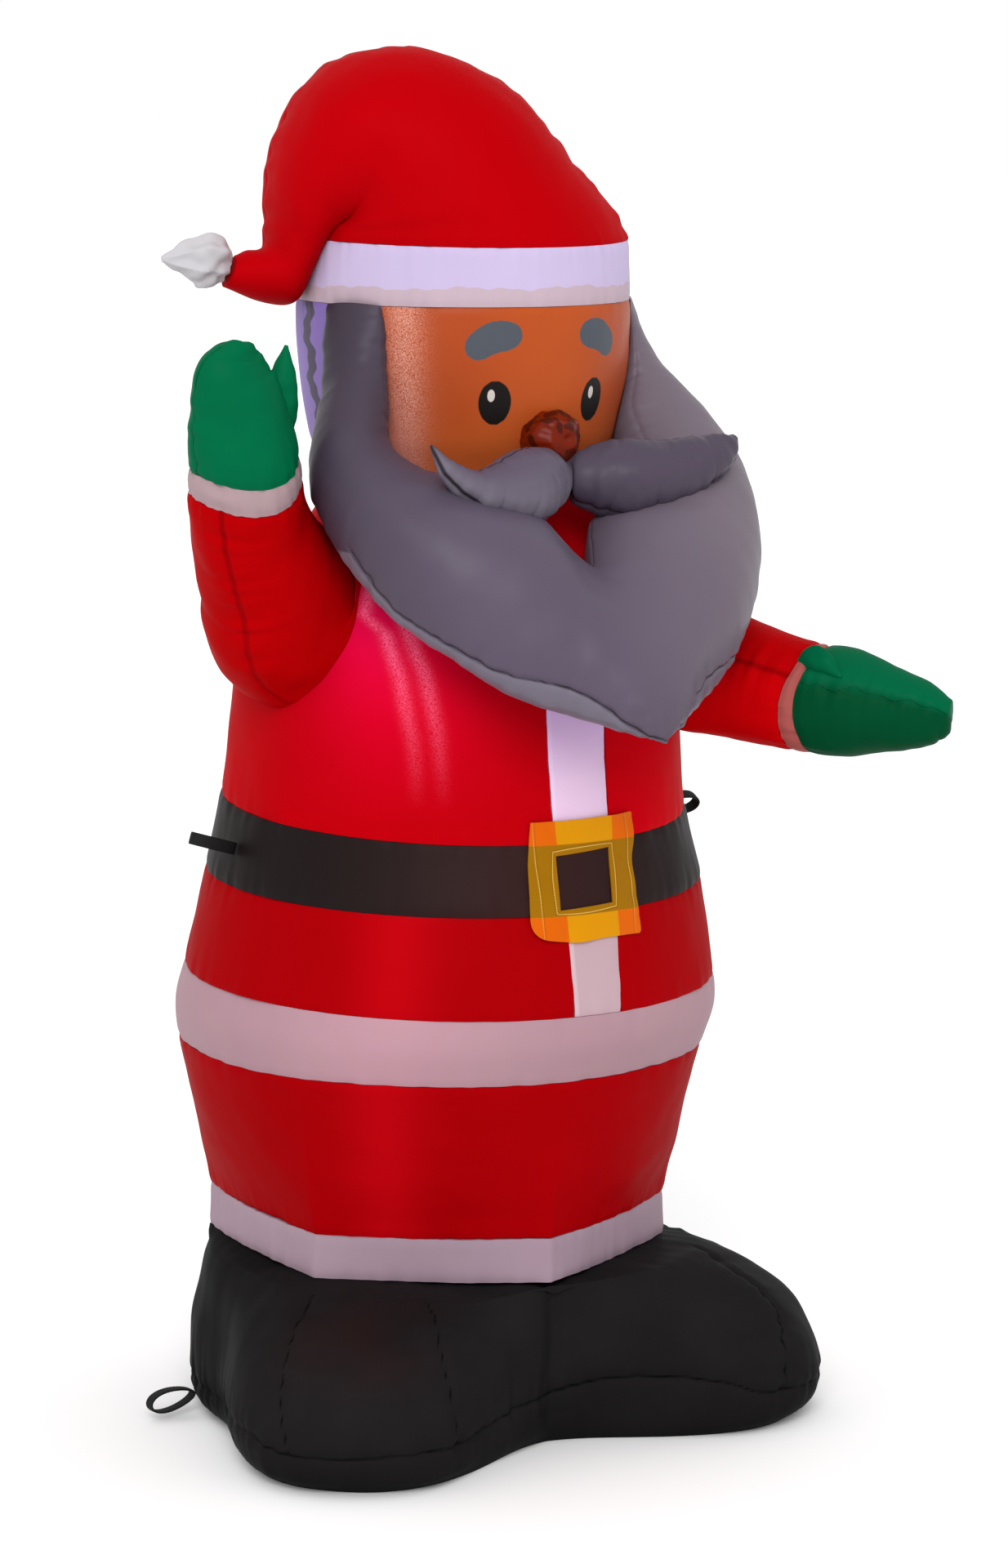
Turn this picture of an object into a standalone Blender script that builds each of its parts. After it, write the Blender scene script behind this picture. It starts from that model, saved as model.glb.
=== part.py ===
"""An inflatable waving Father Christmas, about four feet tall, as it stands when filled with air.

Each coloured panel of the sewn skin is one closed solid, drawn as the room that it holds. The
figure faces -Y, its right side is -X, and it stands on the floor at Z = 0, with its axis through
the origin. The free forms are tables in hundredths of the height, read as smooth curves. Angles
round the body are measured from the front, and are positive towards the figure's left.
"""

import math

import bmesh
import bpy
import numpy as np

# Driving dimensions, in metres.
HEIGHT = 1.22  # floor to the crown of the hat
SEAM_GAP = 0.0003  # between panels that meet at a seam
PANEL_DEPTH = 0.006  # of a panel that is let into another one
PLACKET_WIDTH = 0.054
BUCKLE_WIDTH = 0.100
BUCKLE_HEIGHT = 0.106
BUCKLE_BORDER = 0.022
BUCKLE_THICKNESS = 0.0025
BUCKLE_STAND_OFF = 0.0012
NOSE_RADIUS = 0.0255
WEBBING_WIDTH = 0.011
WEBBING_THICKNESS = 0.002
LOOP_LENGTH = 0.046
LOOP_STAND_OFF = 0.0012
LOOP_HEIGHT = 0.024

PERCENT = HEIGHT / 100.0

# The column of the body and head: height, radius, forward shift, forward lean in degrees, and
# how far the section goes from a circle to a hexagon.
COLUMN = [
    (12.85, 16.95, -0.90, 2.0, 0.75),
    (16.05, 16.90, -0.85, 2.0, 0.65),
    (20.60, 17.75, -0.60, 1.6, 0.30),
    (27.85, 19.35, -0.10, 1.0, 0.05),
    (30.80, 19.80, 0.50, 1.5, 0.00),
    (33.20, 19.45, 1.00, 2.4, 0.00),
    (40.40, 18.15, 1.60, 2.5, 0.00),
    (45.70, 17.00, 1.65, 4.0, 0.00),
    (51.50, 16.40, 1.90, 4.0, 0.00),
    (57.00, 15.70, 2.20, 3.0, 0.00),
    (62.40, 13.80, 2.50, 2.0, 0.00),
    (65.90, 11.20, 2.70, 1.0, 0.00),
    (68.50, 9.90, 2.80, 0.0, 0.00),
    (72.80, 11.10, 2.90, 0.0, 0.00),
    (77.70, 11.90, 3.00, 0.3, 0.00),
    (82.10, 12.05, 3.05, 0.6, 0.00),
    (86.50, 11.80, 3.10, 2.0, 0.00),
]
HEM_BOTTOM = 12.85
HEM_TOP = 16.05
HIP_BOTTOM = 27.85
HIP_TOP = 33.20
BELT_BOTTOM = 40.40
BELT_TOP = 45.70
PLACKET_TOP = 63.50
NECK = 68.50
BAND_BOTTOM = 82.10
BAND_TOP = 86.50
COLUMN_SIDES = 48

# The panels of the column: bottom seam, top seam and number of sections. The chest's second
# stretch is above the placket.
PANELS = {
    "hem_trim": (HEM_BOTTOM, HEM_TOP, 2),
    "coat_skirt": (HEM_TOP, HIP_BOTTOM, 4),
    "hip_trim": (HIP_BOTTOM, HIP_TOP, 3),
    "coat_waist": (HIP_TOP, BELT_BOTTOM, 3),
    "belt": (BELT_BOTTOM, BELT_TOP, 3),
    "coat_chest": (BELT_TOP, PLACKET_TOP, 5),
    "coat_collar": (PLACKET_TOP, NECK, 4),
    "head": (NECK, BAND_BOTTOM, 5),
    "hat_band": (BAND_BOTTOM, BAND_TOP, 2),
}
HEXAGON_TURN = -2.5

FACE_HALF_ANGLE = 61.0

# The boots: height, reach of a toe, radius at the heel, and radius between the feet.
BOOTS = [
    (0.00, 25.9, 17.3, 14.1),
    (0.90, 27.3, 18.6, 15.1),
    (2.60, 28.2, 19.1, 15.5),
    (4.40, 28.2, 19.1, 15.7),
    (6.60, 27.5, 18.8, 16.0),
    (8.90, 25.8, 18.3, 16.2),
    (10.90, 22.6, 17.8, 16.3),
    (12.10, 19.2, 17.3, 16.3),
]
TOE_ANGLE = 49.0
TOE_SPREAD = 27.0
TOE_BLUNTNESS = 2.4
BOOT_SIDES = 48

# The hat bends towards this angle. Each row is one section of its cone: the outer and the inner
# end in the plane of the bend, as distance from the head's axis and height, the half width, and
# how full the section stays towards its inner end, from 1 for an oval down to 0 for a square.
HAT_BEND_ANGLE = -103.0
HAT = [
    (-10.7, 88.6, 11.4, 87.1, 11.6, 0.90),
    (-8.0, 91.7, 11.0, 87.4, 11.3, 0.75),
    (-4.3, 96.1, 10.6, 87.6, 10.6, 0.65),
    (-0.1, 98.9, 10.4, 87.7, 9.8, 0.60),
    (4.5, 100.0, 10.3, 87.7, 8.8, 0.60),
    (8.9, 99.3, 10.4, 87.5, 8.0, 0.60),
    (11.8, 97.3, 10.6, 87.2, 7.1, 0.60),
    (13.5, 94.0, 10.9, 86.7, 6.1, 0.65),
    (14.35, 90.5, 11.3, 85.8, 5.0, 0.70),
    (14.5, 87.7, 11.8, 84.3, 3.9, 0.80),
    (14.9, 86.1, 13.0, 82.1, 3.1, 0.90),
    (16.1, 85.7, 15.4, 82.2, 2.3, 1.00),
    (17.1, 85.4, 17.9, 83.1, 1.4, 1.00),
]
HAT_SECTIONS = 16
HAT_SIDES = 28

# The gathered bag at the tip of the hat, on the line of the tail: distance from the head's axis,
# height, half height and half width.
POMPOM = [
    (17.62, 84.30, 0.90, 0.90),
    (18.30, 84.60, 1.60, 1.50),
    (19.30, 85.00, 1.95, 1.80),
    (20.40, 85.20, 1.55, 1.50),
    (21.50, 85.20, 0.85, 0.85),
    (22.40, 85.20, 0.20, 0.20),
]
POMPOM_SIDES = 14

# The beard: how far along one side, its inner edge, its outer edge, and its half thickness.
BEARD = [
    (0.00, (0.0, -17.2, 65.6), (0.0, -29.5, 52.9), 3.0),
    (0.12, (2.0, -17.2, 67.2), (4.0, -26.8, 54.3), 4.4),
    (0.30, (5.8, -16.4, 68.8), (10.4, -22.0, 57.4), 4.9),
    (0.50, (8.8, -14.2, 71.8), (15.1, -15.6, 62.4), 4.8),
    (0.70, (10.2, -11.8, 75.2), (16.3, -9.2, 69.0), 3.7),
    (0.85, (10.6, -10.0, 78.4), (13.6, -5.4, 75.6), 1.7),
    (1.00, (10.4, -9.0, 81.7), (12.4, -3.6, 81.7), 0.6),
]
BEARD_SECTIONS = 10
BEARD_SIDES = 16
BEARD_PINCH = 1.25

# One half of the moustache, from its middle to its tip: centre, half height and half thickness.
MOUSTACHE = [
    ((0.03, -16.0, 70.1), 1.0, 1.2),
    ((0.50, -16.0, 70.1), 1.4, 1.5),
    ((1.7, -16.7, 70.0), 2.2, 2.0),
    ((4.2, -17.8, 69.9), 2.9, 2.6),
    ((7.5, -18.6, 70.2), 2.4, 2.3),
    ((10.2, -19.0, 71.3), 1.5, 1.6),
    ((12.3, -19.1, 72.7), 0.6, 0.5),
]
MOUSTACHE_SIDES = 12
MOUSTACHE_PINCH = 1.2

# The arms, from inside the body to the fingertips: centre, half height or width across the arm
# as the figure is seen from the front, half thickness, how far the edges are drawn to a point,
# and how far a seam dips towards the elbow on the palm and on the back of the hand. The cuff
# is between two of the rows.
RIGHT_ARM = [
    ((-9.0, -3.6, 59.2), 6.6, 5.4, 1.0, 0.0),
    ((-15.0, -4.3, 59.9), 6.2, 5.3, 1.0, 0.0),
    ((-17.4, -5.7, 63.0), 5.25, 5.0, 1.0, 0.2),
    ((-20.1, -7.4, 67.2), 4.25, 4.2, 1.0, 0.5),
    ((-21.2, -8.6, 70.1), 4.1, 3.95, 1.05, 0.8),
    ((-21.5, -9.05, 71.6), 4.0, 3.8, 1.1, 0.8),
    ((-21.9, -9.45, 73.5), 4.0, 3.5, 1.2, 0.6),
    ((-22.4, -9.8, 75.7), 3.5, 2.9, 1.25, 0.3),
    ((-22.9, -10.1, 77.7), 3.0, 2.1, 1.25, 0.0),
    ((-22.9, -10.5, 79.2), 2.1, 1.3, 1.25, 0.0),
    ((-22.8, -10.8, 80.0), 1.3, 0.7, 1.25, 0.0),
]
RIGHT_CUFF = (4, 5)
RIGHT_THUMB = [
    ((-20.1, -9.5, 73.8), 1.6, 1.5, 1.0, 0.0),
    ((-19.3, -9.8, 75.6), 1.4, 1.3, 1.0, 0.0),
    ((-18.9, -10.1, 77.6), 1.0, 0.9, 1.0, 0.0),
    ((-18.8, -10.3, 79.4), 0.4, 0.4, 1.0, 0.0),
]
LEFT_ARM = [
    ((8.4, -5.2, 57.0), 6.4, 5.8, 1.0, 0.0),
    ((12.9, -11.3, 55.9), 5.2, 5.0, 1.0, 0.0),
    ((15.8, -15.0, 54.8), 4.4, 4.3, 1.0, 0.4),
    ((19.1, -19.1, 53.6), 3.95, 3.9, 1.0, 1.0),
    ((20.1, -20.35, 53.3), 3.85, 3.8, 1.05, 1.0),
    ((21.2, -21.8, 53.3), 3.9, 3.6, 1.1, 0.5),
    ((23.0, -24.1, 53.0), 3.1, 2.9, 1.1, 0.2),
    ((25.0, -26.5, 52.5), 2.1, 1.9, 1.1, 0.0),
    ((25.8, -27.5, 52.3), 1.3, 1.0, 1.1, 0.0),
]
LEFT_CUFF = (3, 4)
LEFT_THUMB = [
    ((21.9, -21.6, 54.4), 1.3, 1.3, 1.0, 0.0),
    ((20.6, -23.0, 56.0), 1.5, 1.4, 1.0, 0.0),
    ((19.6, -24.0, 56.9), 0.5, 0.5, 1.0, 0.0),
]
ARM_SIDES = 20
THUMB_SIDES = 12

# The tether loops: angle round the body, height, and turn of the webbing about its own run, all
# in degrees but the height, and how far the loop points up from level.
LOOPS = {
    "belt_loop_right": (-94.0, 43.0, 90.0, 17.0),
    "belt_loop_left": (88.0, 43.8, 28.0, 0.0),
    "boot_loop_right": (-108.0, 1.7, 0.0, -8.0),
    "boot_loop_left": (108.0, 1.7, 0.0, -8.0),
}
LOOP_POINTS = 16

COLOURS = {
    "red_cloth": ((0.52, 0.002, 0.008), 0.45),
    "white_cloth": ((0.62, 0.47, 0.55), 0.5),
    "black_cloth": ((0.017, 0.015, 0.016), 0.5),
    "green_cloth": ((0.001, 0.13, 0.06), 0.45),
    "grey_cloth": ((0.15, 0.12, 0.16), 0.45),
    "brown_cloth": ((0.40, 0.08, 0.025), 0.4),
    "nose_cloth": ((0.20, 0.03, 0.008), 0.35),
    "yellow_cloth": ((0.75, 0.28, 0.01), 0.4),
    "webbing": ((0.004, 0.004, 0.004), 0.8),
}


def clear_scene():
    for old in list(bpy.data.objects):
        bpy.data.objects.remove(old)


def new_collection(name):
    collection = bpy.data.collections.new(name)
    bpy.context.scene.collection.children.link(collection)
    return collection


def material(name):
    found = bpy.data.materials.get(name)
    if found:
        return found
    colour, roughness = COLOURS[name]
    made = bpy.data.materials.new(name)
    made.use_nodes = True
    shader = made.node_tree.nodes["Principled BSDF"]
    shader.inputs["Base Color"].default_value = (*colour, 1.0)
    shader.inputs["Roughness"].default_value = roughness
    shader.inputs["Metallic"].default_value = 0.0
    return made


def smooth(table, at):
    """Reads a smooth curve through a table's rows at one place or many: a cubic from each row to
    the next, whose slope at a row is the mean of the straight slopes beside it."""
    table = np.asarray(table, float)
    at = np.asarray(at, float)
    x = table[:, 0]
    y = table[:, 1:]
    straight = np.diff(y, axis=0) / np.diff(x)[:, None]
    slope = np.vstack([straight[:1], (straight[:-1] + straight[1:]) / 2, straight[-1:]])
    row = np.clip(np.searchsorted(x, at, side="right") - 1, 0, len(x) - 2)
    step = x[row + 1] - x[row]
    t = ((at - x[row]) / step)[..., None]
    step = step[..., None]
    return (
        y[row] * (1 + 2 * t) * (1 - t) ** 2
        + slope[row] * step * t * (1 - t) ** 2
        + y[row + 1] * t**2 * (3 - 2 * t)
        + slope[row + 1] * step * t**2 * (t - 1)
    )


def flat_rows(rows):
    """Table rows whose entries are numbers or points, as plain rows of numbers."""
    return [np.hstack([np.atleast_1d(entry) for entry in row]) for row in rows]


def with_lengths(rows):
    """The rows with a first column added: the length from the first centre to this one."""
    rows = np.array(flat_rows(rows))
    steps = np.linalg.norm(np.diff(rows[:, :3], axis=0), axis=1)
    return np.column_stack([np.concatenate([[0.0], np.cumsum(steps)]), rows])


def unit(v):
    return v / np.linalg.norm(v, axis=-1, keepdims=True)


def loft_mesh(name, rings, closed=False, flat_ends=False):
    """A mesh skinned over rings of equally many points. Open ends are closed by a fan of
    triangles from the ring's middle, or by one flat face where the ring is a narrow
    crescent, and a closed loft joins its last ring to its first."""
    rings = [np.asarray(ring, float) for ring in rings]
    mesh = bmesh.new()
    rows = [[mesh.verts.new(point) for point in ring] for ring in rings]
    pairs = list(zip(rows[:-1], rows[1:]))
    if closed:
        pairs.append((rows[-1], rows[0]))
    for low, high in pairs:
        for i in range(len(low)):
            j = (i + 1) % len(low)
            mesh.faces.new((low[i], low[j], high[j], high[i]))
    if flat_ends:
        mesh.faces.new(rows[0])
        mesh.faces.new(rows[-1])
    elif not closed:
        for row, ring in ((rows[0], rings[0]), (rows[-1], rings[-1])):
            middle = mesh.verts.new(ring.mean(axis=0))
            for i in range(len(row)):
                mesh.faces.new((row[i], row[(i + 1) % len(row)], middle))
    bmesh.ops.triangulate(mesh, faces=mesh.faces[:])
    bmesh.ops.recalc_face_normals(mesh, faces=mesh.faces[:])
    made = bpy.data.meshes.new(name)
    mesh.to_mesh(made)
    mesh.free()
    return made


def add_part(name, mesh, finish, collection):
    part = bpy.data.objects.new(name, mesh)
    part.data.materials.append(material(finish))
    collection.objects.link(part)
    mesh.shade_smooth()
    mesh.set_sharp_from_angle(angle=math.radians(40))
    return part


def add_cutter(name, mesh, collection):
    """A helper that is only cut with: hidden in renders, and drawn as wires."""
    cutter = bpy.data.objects.new(name, mesh)
    collection.objects.link(cutter)
    cutter.hide_render = True
    cutter.display_type = "WIRE"
    return cutter


def cut(part, *cutters):
    for cutter in cutters:
        boolean = part.modifiers.new("cut_" + cutter.name, "BOOLEAN")
        boolean.operation = "DIFFERENCE"
        boolean.object = cutter


def join(part, other):
    boolean = part.modifiers.new("join_" + other.name, "BOOLEAN")
    boolean.operation = "UNION"
    boolean.object = other


# The column of the body and head.


def column_ring(height, angles, inset=0.0):
    """The column's section at a height, in hundredths, at some angles in radians. A lean lowers
    the section's front. A section between a circle and a hexagon has a corner near the
    front. The inset, in metres, moves the surface in where it is positive."""
    radius, shift, lean, hexagon = smooth(COLUMN, height)
    sixth = math.pi / 3
    past_corner = np.mod(angles - math.radians(HEXAGON_TURN), sixth)
    across = np.cos(sixth / 2) / np.cos(past_corner - sixth / 2)
    reach = radius * PERCENT * (1 + hexagon * (across - 1)) - inset
    drop = reach * np.cos(angles) * math.tan(math.radians(lean))
    return np.column_stack(
        [
            reach * np.sin(angles),
            -shift * PERCENT - reach * np.cos(angles),
            height * PERCENT - drop,
        ]
    )


def column_radius(height):
    return smooth(COLUMN, height)[0] * PERCENT


def full_turn(sides):
    return np.arange(sides) * 2 * math.pi / sides


def panel_angles(half_angle, sides):
    """Angles round a section with an inlaid panel at the front: first those outside it, then
    those across it, with the panel's two edges in both."""
    outside = np.linspace(half_angle, 2 * math.pi - half_angle, sides)
    across = np.linspace(-half_angle, half_angle, 7)
    return outside, across


def section_heights(panel):
    """Heights of a panel's sections, with half a seam gap left at each end."""
    low, high, rows = PANELS[panel]
    spare = SEAM_GAP / PERCENT / 2
    return np.linspace(low + spare, high - spare, rows)


def recessed_ring(height, half_angle, sides, depth):
    outside, across = panel_angles(half_angle, sides)
    return np.vstack(
        [
            column_ring(height, outside),
            column_ring(height, across, inset=depth),
        ]
    )


def inlay_ring(height, half_angle, depth):
    """An inlaid panel's section: its face, and its back behind it, clear of the recess."""
    gap_angle = SEAM_GAP / column_radius(height)
    angles = panel_angles(half_angle - gap_angle, COLUMN_SIDES)[1]
    return np.vstack(
        [
            column_ring(height, angles),
            column_ring(height, angles[::-1], inset=depth - SEAM_GAP),
        ]
    )


def add_band(name, finish, collection):
    angles = full_turn(COLUMN_SIDES)
    rings = [column_ring(z, angles) for z in section_heights(name)]
    return add_part(name, loft_mesh(name, rings), finish, collection)


def placket_half_angle(height):
    return PLACKET_WIDTH / 2 / column_radius(height)


def add_coat_panel(name, placket_name, collection, above=None):
    """A red panel with the white placket let into its front, as two solids. The red goes on
    over the stretch above the placket."""
    heights = section_heights(name)
    sides = COLUMN_SIDES - 6
    coat = [recessed_ring(z, placket_half_angle(z), sides, PANEL_DEPTH) for z in heights]
    if above:
        coat += [
            recessed_ring(z, placket_half_angle(z), sides, 0.0)
            for z in section_heights(above)
        ]
    placket = [inlay_ring(z, placket_half_angle(z), PANEL_DEPTH) for z in heights]
    add_part(name, loft_mesh(name, coat), "red_cloth", collection)
    strip = loft_mesh(placket_name, placket, flat_ends=True)
    add_part(placket_name, strip, "white_cloth", collection)


def add_head(collection):
    """The white back of the head, and the brown face panel let into its front."""
    heights = section_heights("head")
    half = math.radians(FACE_HALF_ANGLE)
    back = [recessed_ring(z, half, COLUMN_SIDES - 18, PANEL_DEPTH) for z in heights]
    face = [inlay_ring(z, half, PANEL_DEPTH) for z in heights]
    add_part("head_back", loft_mesh("head_back", back), "white_cloth", collection)
    front = loft_mesh("face", face, flat_ends=True)
    add_part("face", front, "brown_cloth", collection)


def add_column_cutter(cutters):
    """The whole column, a seam gap larger all round, which shapes what is sewn onto it."""
    angles = full_turn(COLUMN_SIDES)
    spare = SEAM_GAP / math.cos(math.pi / COLUMN_SIDES) + 0.0004
    heights = np.concatenate([section_heights(panel) for panel in PANELS])
    rings = [column_ring(z, angles, inset=-spare) for z in heights]
    return add_cutter("column", loft_mesh("column", rings), cutters)


# The boots.


def boot_ring(height, angles):
    """The boots' outline at a height: a heel circle that narrows between the feet, with a bell
    shaped swell at each toe."""
    toe, heel, between = smooth(BOOTS, height)
    front = np.exp(-((np.degrees(np.abs(angles)) / 60.0) ** 2))
    round_part = heel + (between - heel) * front
    off_toe = np.abs(np.degrees(np.abs(angles)) - TOE_ANGLE) / TOE_SPREAD
    reach = (round_part + (toe - round_part) * np.exp(-(off_toe**TOE_BLUNTNESS))) * PERCENT
    return np.column_stack(
        [
            reach * np.sin(angles),
            -reach * np.cos(angles),
            np.full(len(angles), height * PERCENT),
        ]
    )


def add_boots(collection):
    angles = np.linspace(-math.pi, math.pi, BOOT_SIDES, endpoint=False)
    heights = [row[0] for row in BOOTS]
    rings = [boot_ring(z, angles) for z in heights]
    rings.append(column_ring(HEM_BOTTOM - SEAM_GAP / PERCENT, angles))
    return add_part("boots", loft_mesh("boots", rings), "black_cloth", collection)


# Swept forms: sections along a line.


def sections(table, at, sides, side_axis, spare=0.0):
    """Sections at some lengths along a table of centres with two half sizes. The first half size
    lies along the side axis, squared to the line, and the second across both. A pinch over 1
    draws the two edges to a point, as where two flat panels are sewn together, and a dip moves
    the middles of the two faces back along the line. The spare, in metres, makes every section
    that much larger."""
    read = smooth(table, at)
    before, after = smooth(table, at - 0.05), smooth(table, at + 0.05)
    tangent = unit(after[:, :3] - before[:, :3])
    side_axis = np.broadcast_to(np.asarray(side_axis, float), tangent.shape)
    side = unit(side_axis - (side_axis * tangent).sum(1, keepdims=True) * tangent)
    across = np.cross(tangent, side)
    turn = full_turn(sides)
    rings = []
    for k in range(len(at)):
        first, second, pinch, dip = read[k, 3:]
        u = (first * PERCENT + spare) * np.cos(turn)
        v = (second * PERCENT + spare) * np.sign(np.sin(turn)) * np.abs(np.sin(turn)) ** pinch
        w = -dip * PERCENT * np.sin(turn) ** 2
        rings.append(
            read[k, :3] * PERCENT
            + u[:, None] * side[k]
            + v[:, None] * across[k]
            + w[:, None] * tangent[k]
        )
    return rings


def whole_length(table, rows):
    """Evenly spaced lengths from the first row's centre to the last one's."""
    return np.linspace(table[0, 0], table[-1, 0], rows)


def edge_sections(inner, outer, thickness, sides, pinch):
    """Sections between an inner and an outer edge line, swelled by a half thickness in metres
    on both sides, square to the edges and to the run of the piece."""
    centres = (inner + outer) / 2
    along = unit(np.gradient(centres, axis=0))
    half = (outer - inner) / 2
    normal = unit(np.cross(half, along))
    turn = full_turn(sides)
    lift = np.sign(np.sin(turn)) * np.abs(np.sin(turn)) ** pinch
    return [
        centres[k]
        + np.cos(turn)[:, None] * half[k]
        + (lift * thickness[k])[:, None] * normal[k]
        for k in range(len(centres))
    ]


def beard_rings(spare=0.0):
    """Both sides of the beard, the figure's right side first, mirrored in X."""
    table = flat_rows(BEARD)
    along = np.linspace(-1, 1, 2 * BEARD_SECTIONS + 1)
    read = smooth(table, np.abs(along))
    mirror = np.column_stack([np.sign(along), np.ones((len(along), 2))])
    inner = read[:, 0:3] * mirror * PERCENT
    outer = read[:, 3:6] * mirror * PERCENT
    width = unit(outer - inner)
    rings = edge_sections(
        inner - width * spare,
        outer + width * spare,
        read[:, 6] * PERCENT + spare,
        BEARD_SIDES,
        BEARD_PINCH,
    )
    return rings


def moustache_rings(side):
    table = with_lengths(
        [(centre, tall, thick, MOUSTACHE_PINCH, 0.0) for centre, tall, thick in MOUSTACHE]
    )
    rings = sections(table, whole_length(table, 9), MOUSTACHE_SIDES, (0, 0, 1))
    return [ring * np.array([side, 1, 1]) for ring in rings]


def hat_rings():
    """The hat's sections, each an oval between its outer and inner end in the plane of the
    bend, after the first one, which lies on the top of the band."""
    bend = math.radians(HAT_BEND_ANGLE)
    outwards = np.array([math.sin(bend), -math.cos(bend), 0.0])
    sideways = np.array([-outwards[1], outwards[0], 0.0])
    upwards = np.array([0.0, 0.0, 1.0])
    axis = np.array([0.0, -smooth(COLUMN, BAND_TOP)[1] * PERCENT, 0.0])
    turn = full_turn(HAT_SIDES)
    rings = [column_ring(BAND_TOP + SEAM_GAP / PERCENT, bend + math.pi - turn)]
    table = np.column_stack([np.arange(len(HAT)), HAT])
    for row in smooth(table, np.linspace(0, len(HAT) - 1, HAT_SECTIONS)):
        outer = axis + (outwards * row[0] + upwards * row[1]) * PERCENT
        inner = axis + (outwards * row[2] + upwards * row[3]) * PERCENT
        power = np.where(np.cos(turn) < 0, row[5], 1.0)
        swell = np.sign(np.sin(turn)) * np.abs(np.sin(turn)) ** power
        rings.append(
            (outer + inner) / 2
            + np.cos(turn)[:, None] * (outer - inner) / 2
            + swell[:, None] * row[4] * PERCENT * sideways
        )
    return rings


def pompom_rings():
    bend = math.radians(HAT_BEND_ANGLE)
    outwards = np.array([math.sin(bend), -math.cos(bend)])
    shift = smooth(COLUMN, BAND_TOP)[1]
    table = with_lengths(
        [
            ((out * outwards[0], out * outwards[1] - shift, z), tall, wide, 1.0, 0.0)
            for out, z, tall, wide in POMPOM
        ]
    )
    return sections(table, whole_length(table, 8), POMPOM_SIDES, (0, 0, 1))


# The buckle and the tether loops.


def buckle_rings():
    """A square frame of cloth that follows the body's front, as sections round its window."""
    middle = (BELT_BOTTOM + BELT_TOP) / 2
    size = np.array([BUCKLE_WIDTH, BUCKLE_HEIGHT]) / 2
    corners = [(-1, -1), (1, -1), (1, 1), (-1, 1)]
    rings = []
    for k in range(4):
        start = np.array(corners[k], float)
        end = np.array(corners[(k + 1) % 4], float)
        for t in np.arange(6) / 6:
            ring = []
            for inset, lift in (
                (0.0, 0.0),
                (0.0, BUCKLE_THICKNESS),
                (BUCKLE_BORDER, BUCKLE_THICKNESS),
                (BUCKLE_BORDER, 0.0),
            ):
                across, up = (start + (end - start) * t) * (size - inset)
                height = middle + up / PERCENT
                angle = np.array([across / column_radius(height)])
                ring.append(column_ring(height, angle, -BUCKLE_STAND_OFF - lift)[0])
            rings.append(np.array(ring))
    return rings


def loop_rings(root, outwards, across, flat):
    """A closed loop of webbing. It starts at the root and reaches outwards, opens by its height
    along across, and its webbing is as wide as it is along flat."""
    turn = full_turn(LOOP_POINTS)
    half_height = (LOOP_HEIGHT - WEBBING_THICKNESS) / 2
    half_length = (LOOP_LENGTH - WEBBING_THICKNESS) / 2
    out = half_length * (1 - np.cos(turn)) + WEBBING_THICKNESS / 2
    up = half_height * np.sin(turn) * (0.62 + 0.38 * np.sin(turn / 2) ** 2)
    line = root + out[:, None] * outwards + up[:, None] * across
    tangent = unit(np.roll(line, -1, axis=0) - np.roll(line, 1, axis=0))
    outward = np.cross(tangent, flat)
    half_width = np.asarray(flat) * WEBBING_WIDTH / 2
    half_thick = outward * WEBBING_THICKNESS / 2
    return [
        np.array(
            [
                line[k] - half_width - half_thick[k],
                line[k] + half_width - half_thick[k],
                line[k] + half_width + half_thick[k],
                line[k] - half_width + half_thick[k],
            ]
        )
        for k in range(len(line))
    ]


def add_loops(collection):
    """Each loop stands out sideways, in the XZ plane before its turn, and its root is clear of
    the cloth behind it."""
    for name, (around, height, turn, rise) in LOOPS.items():
        angle = np.array([math.radians(around)])
        if height < HEM_BOTTOM:
            root = boot_ring(height, angle)[0]
        else:
            root = column_ring(height, angle)[0]
        side = math.copysign(1.0, around)
        rise = math.radians(rise)
        turn = math.radians(turn)
        outwards = np.array([side * math.cos(rise), 0, math.sin(rise)])
        upwards = np.array([-side * math.sin(rise), 0, math.cos(rise)])
        backwards = np.array([0, 1, 0])
        across = math.cos(turn) * upwards - math.sin(turn) * backwards
        flat = math.sin(turn) * upwards + math.cos(turn) * backwards
        rings = loop_rings(root + outwards * LOOP_STAND_OFF, outwards, across, flat)
        add_part(name, loft_mesh(name, rings, closed=True), "webbing", collection)


def add_nose(collection, column):
    radius = column_radius(72.6)
    mesh = bmesh.new()
    bmesh.ops.create_uvsphere(mesh, u_segments=16, v_segments=10, radius=NOSE_RADIUS)
    made = bpy.data.meshes.new("nose")
    mesh.to_mesh(made)
    mesh.free()
    part = add_part("nose", made, "nose_cloth", collection)
    shift = smooth(COLUMN, 72.6)[1] * PERCENT
    part.location = (0, -shift - radius - NOSE_RADIUS * 0.4, 72.6 * PERCENT)
    cut(part, column)
    return part


def add_arm(name, arm, cuff, thumb, side_axis, collection, cutters):
    """The sleeve, cuff and mitten of one arm, divided at the two rows of the cuff."""
    table = with_lengths(arm)
    gap = SEAM_GAP / PERCENT
    start, end = table[cuff[0], 0], table[cuff[1], 0]
    pieces = []
    for piece, finish, low, high, rows in (
        ("sleeve", "red_cloth", 0.0, start, 8),
        ("cuff", "white_cloth", start + gap, end, 2),
        ("mitten", "green_cloth", end + gap, table[-1, 0], 9),
    ):
        rings = sections(table, np.linspace(low, high, rows), ARM_SIDES, side_axis)
        title = f"{name}_{piece}"
        pieces.append(add_part(title, loft_mesh(title, rings), finish, collection))
    table = with_lengths(thumb)
    rings = sections(table, whole_length(table, 6), THUMB_SIDES, side_axis)
    join(pieces[2], add_cutter(f"{name}_thumb", loft_mesh("thumb", rings), cutters))
    return pieces[0]


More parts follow.
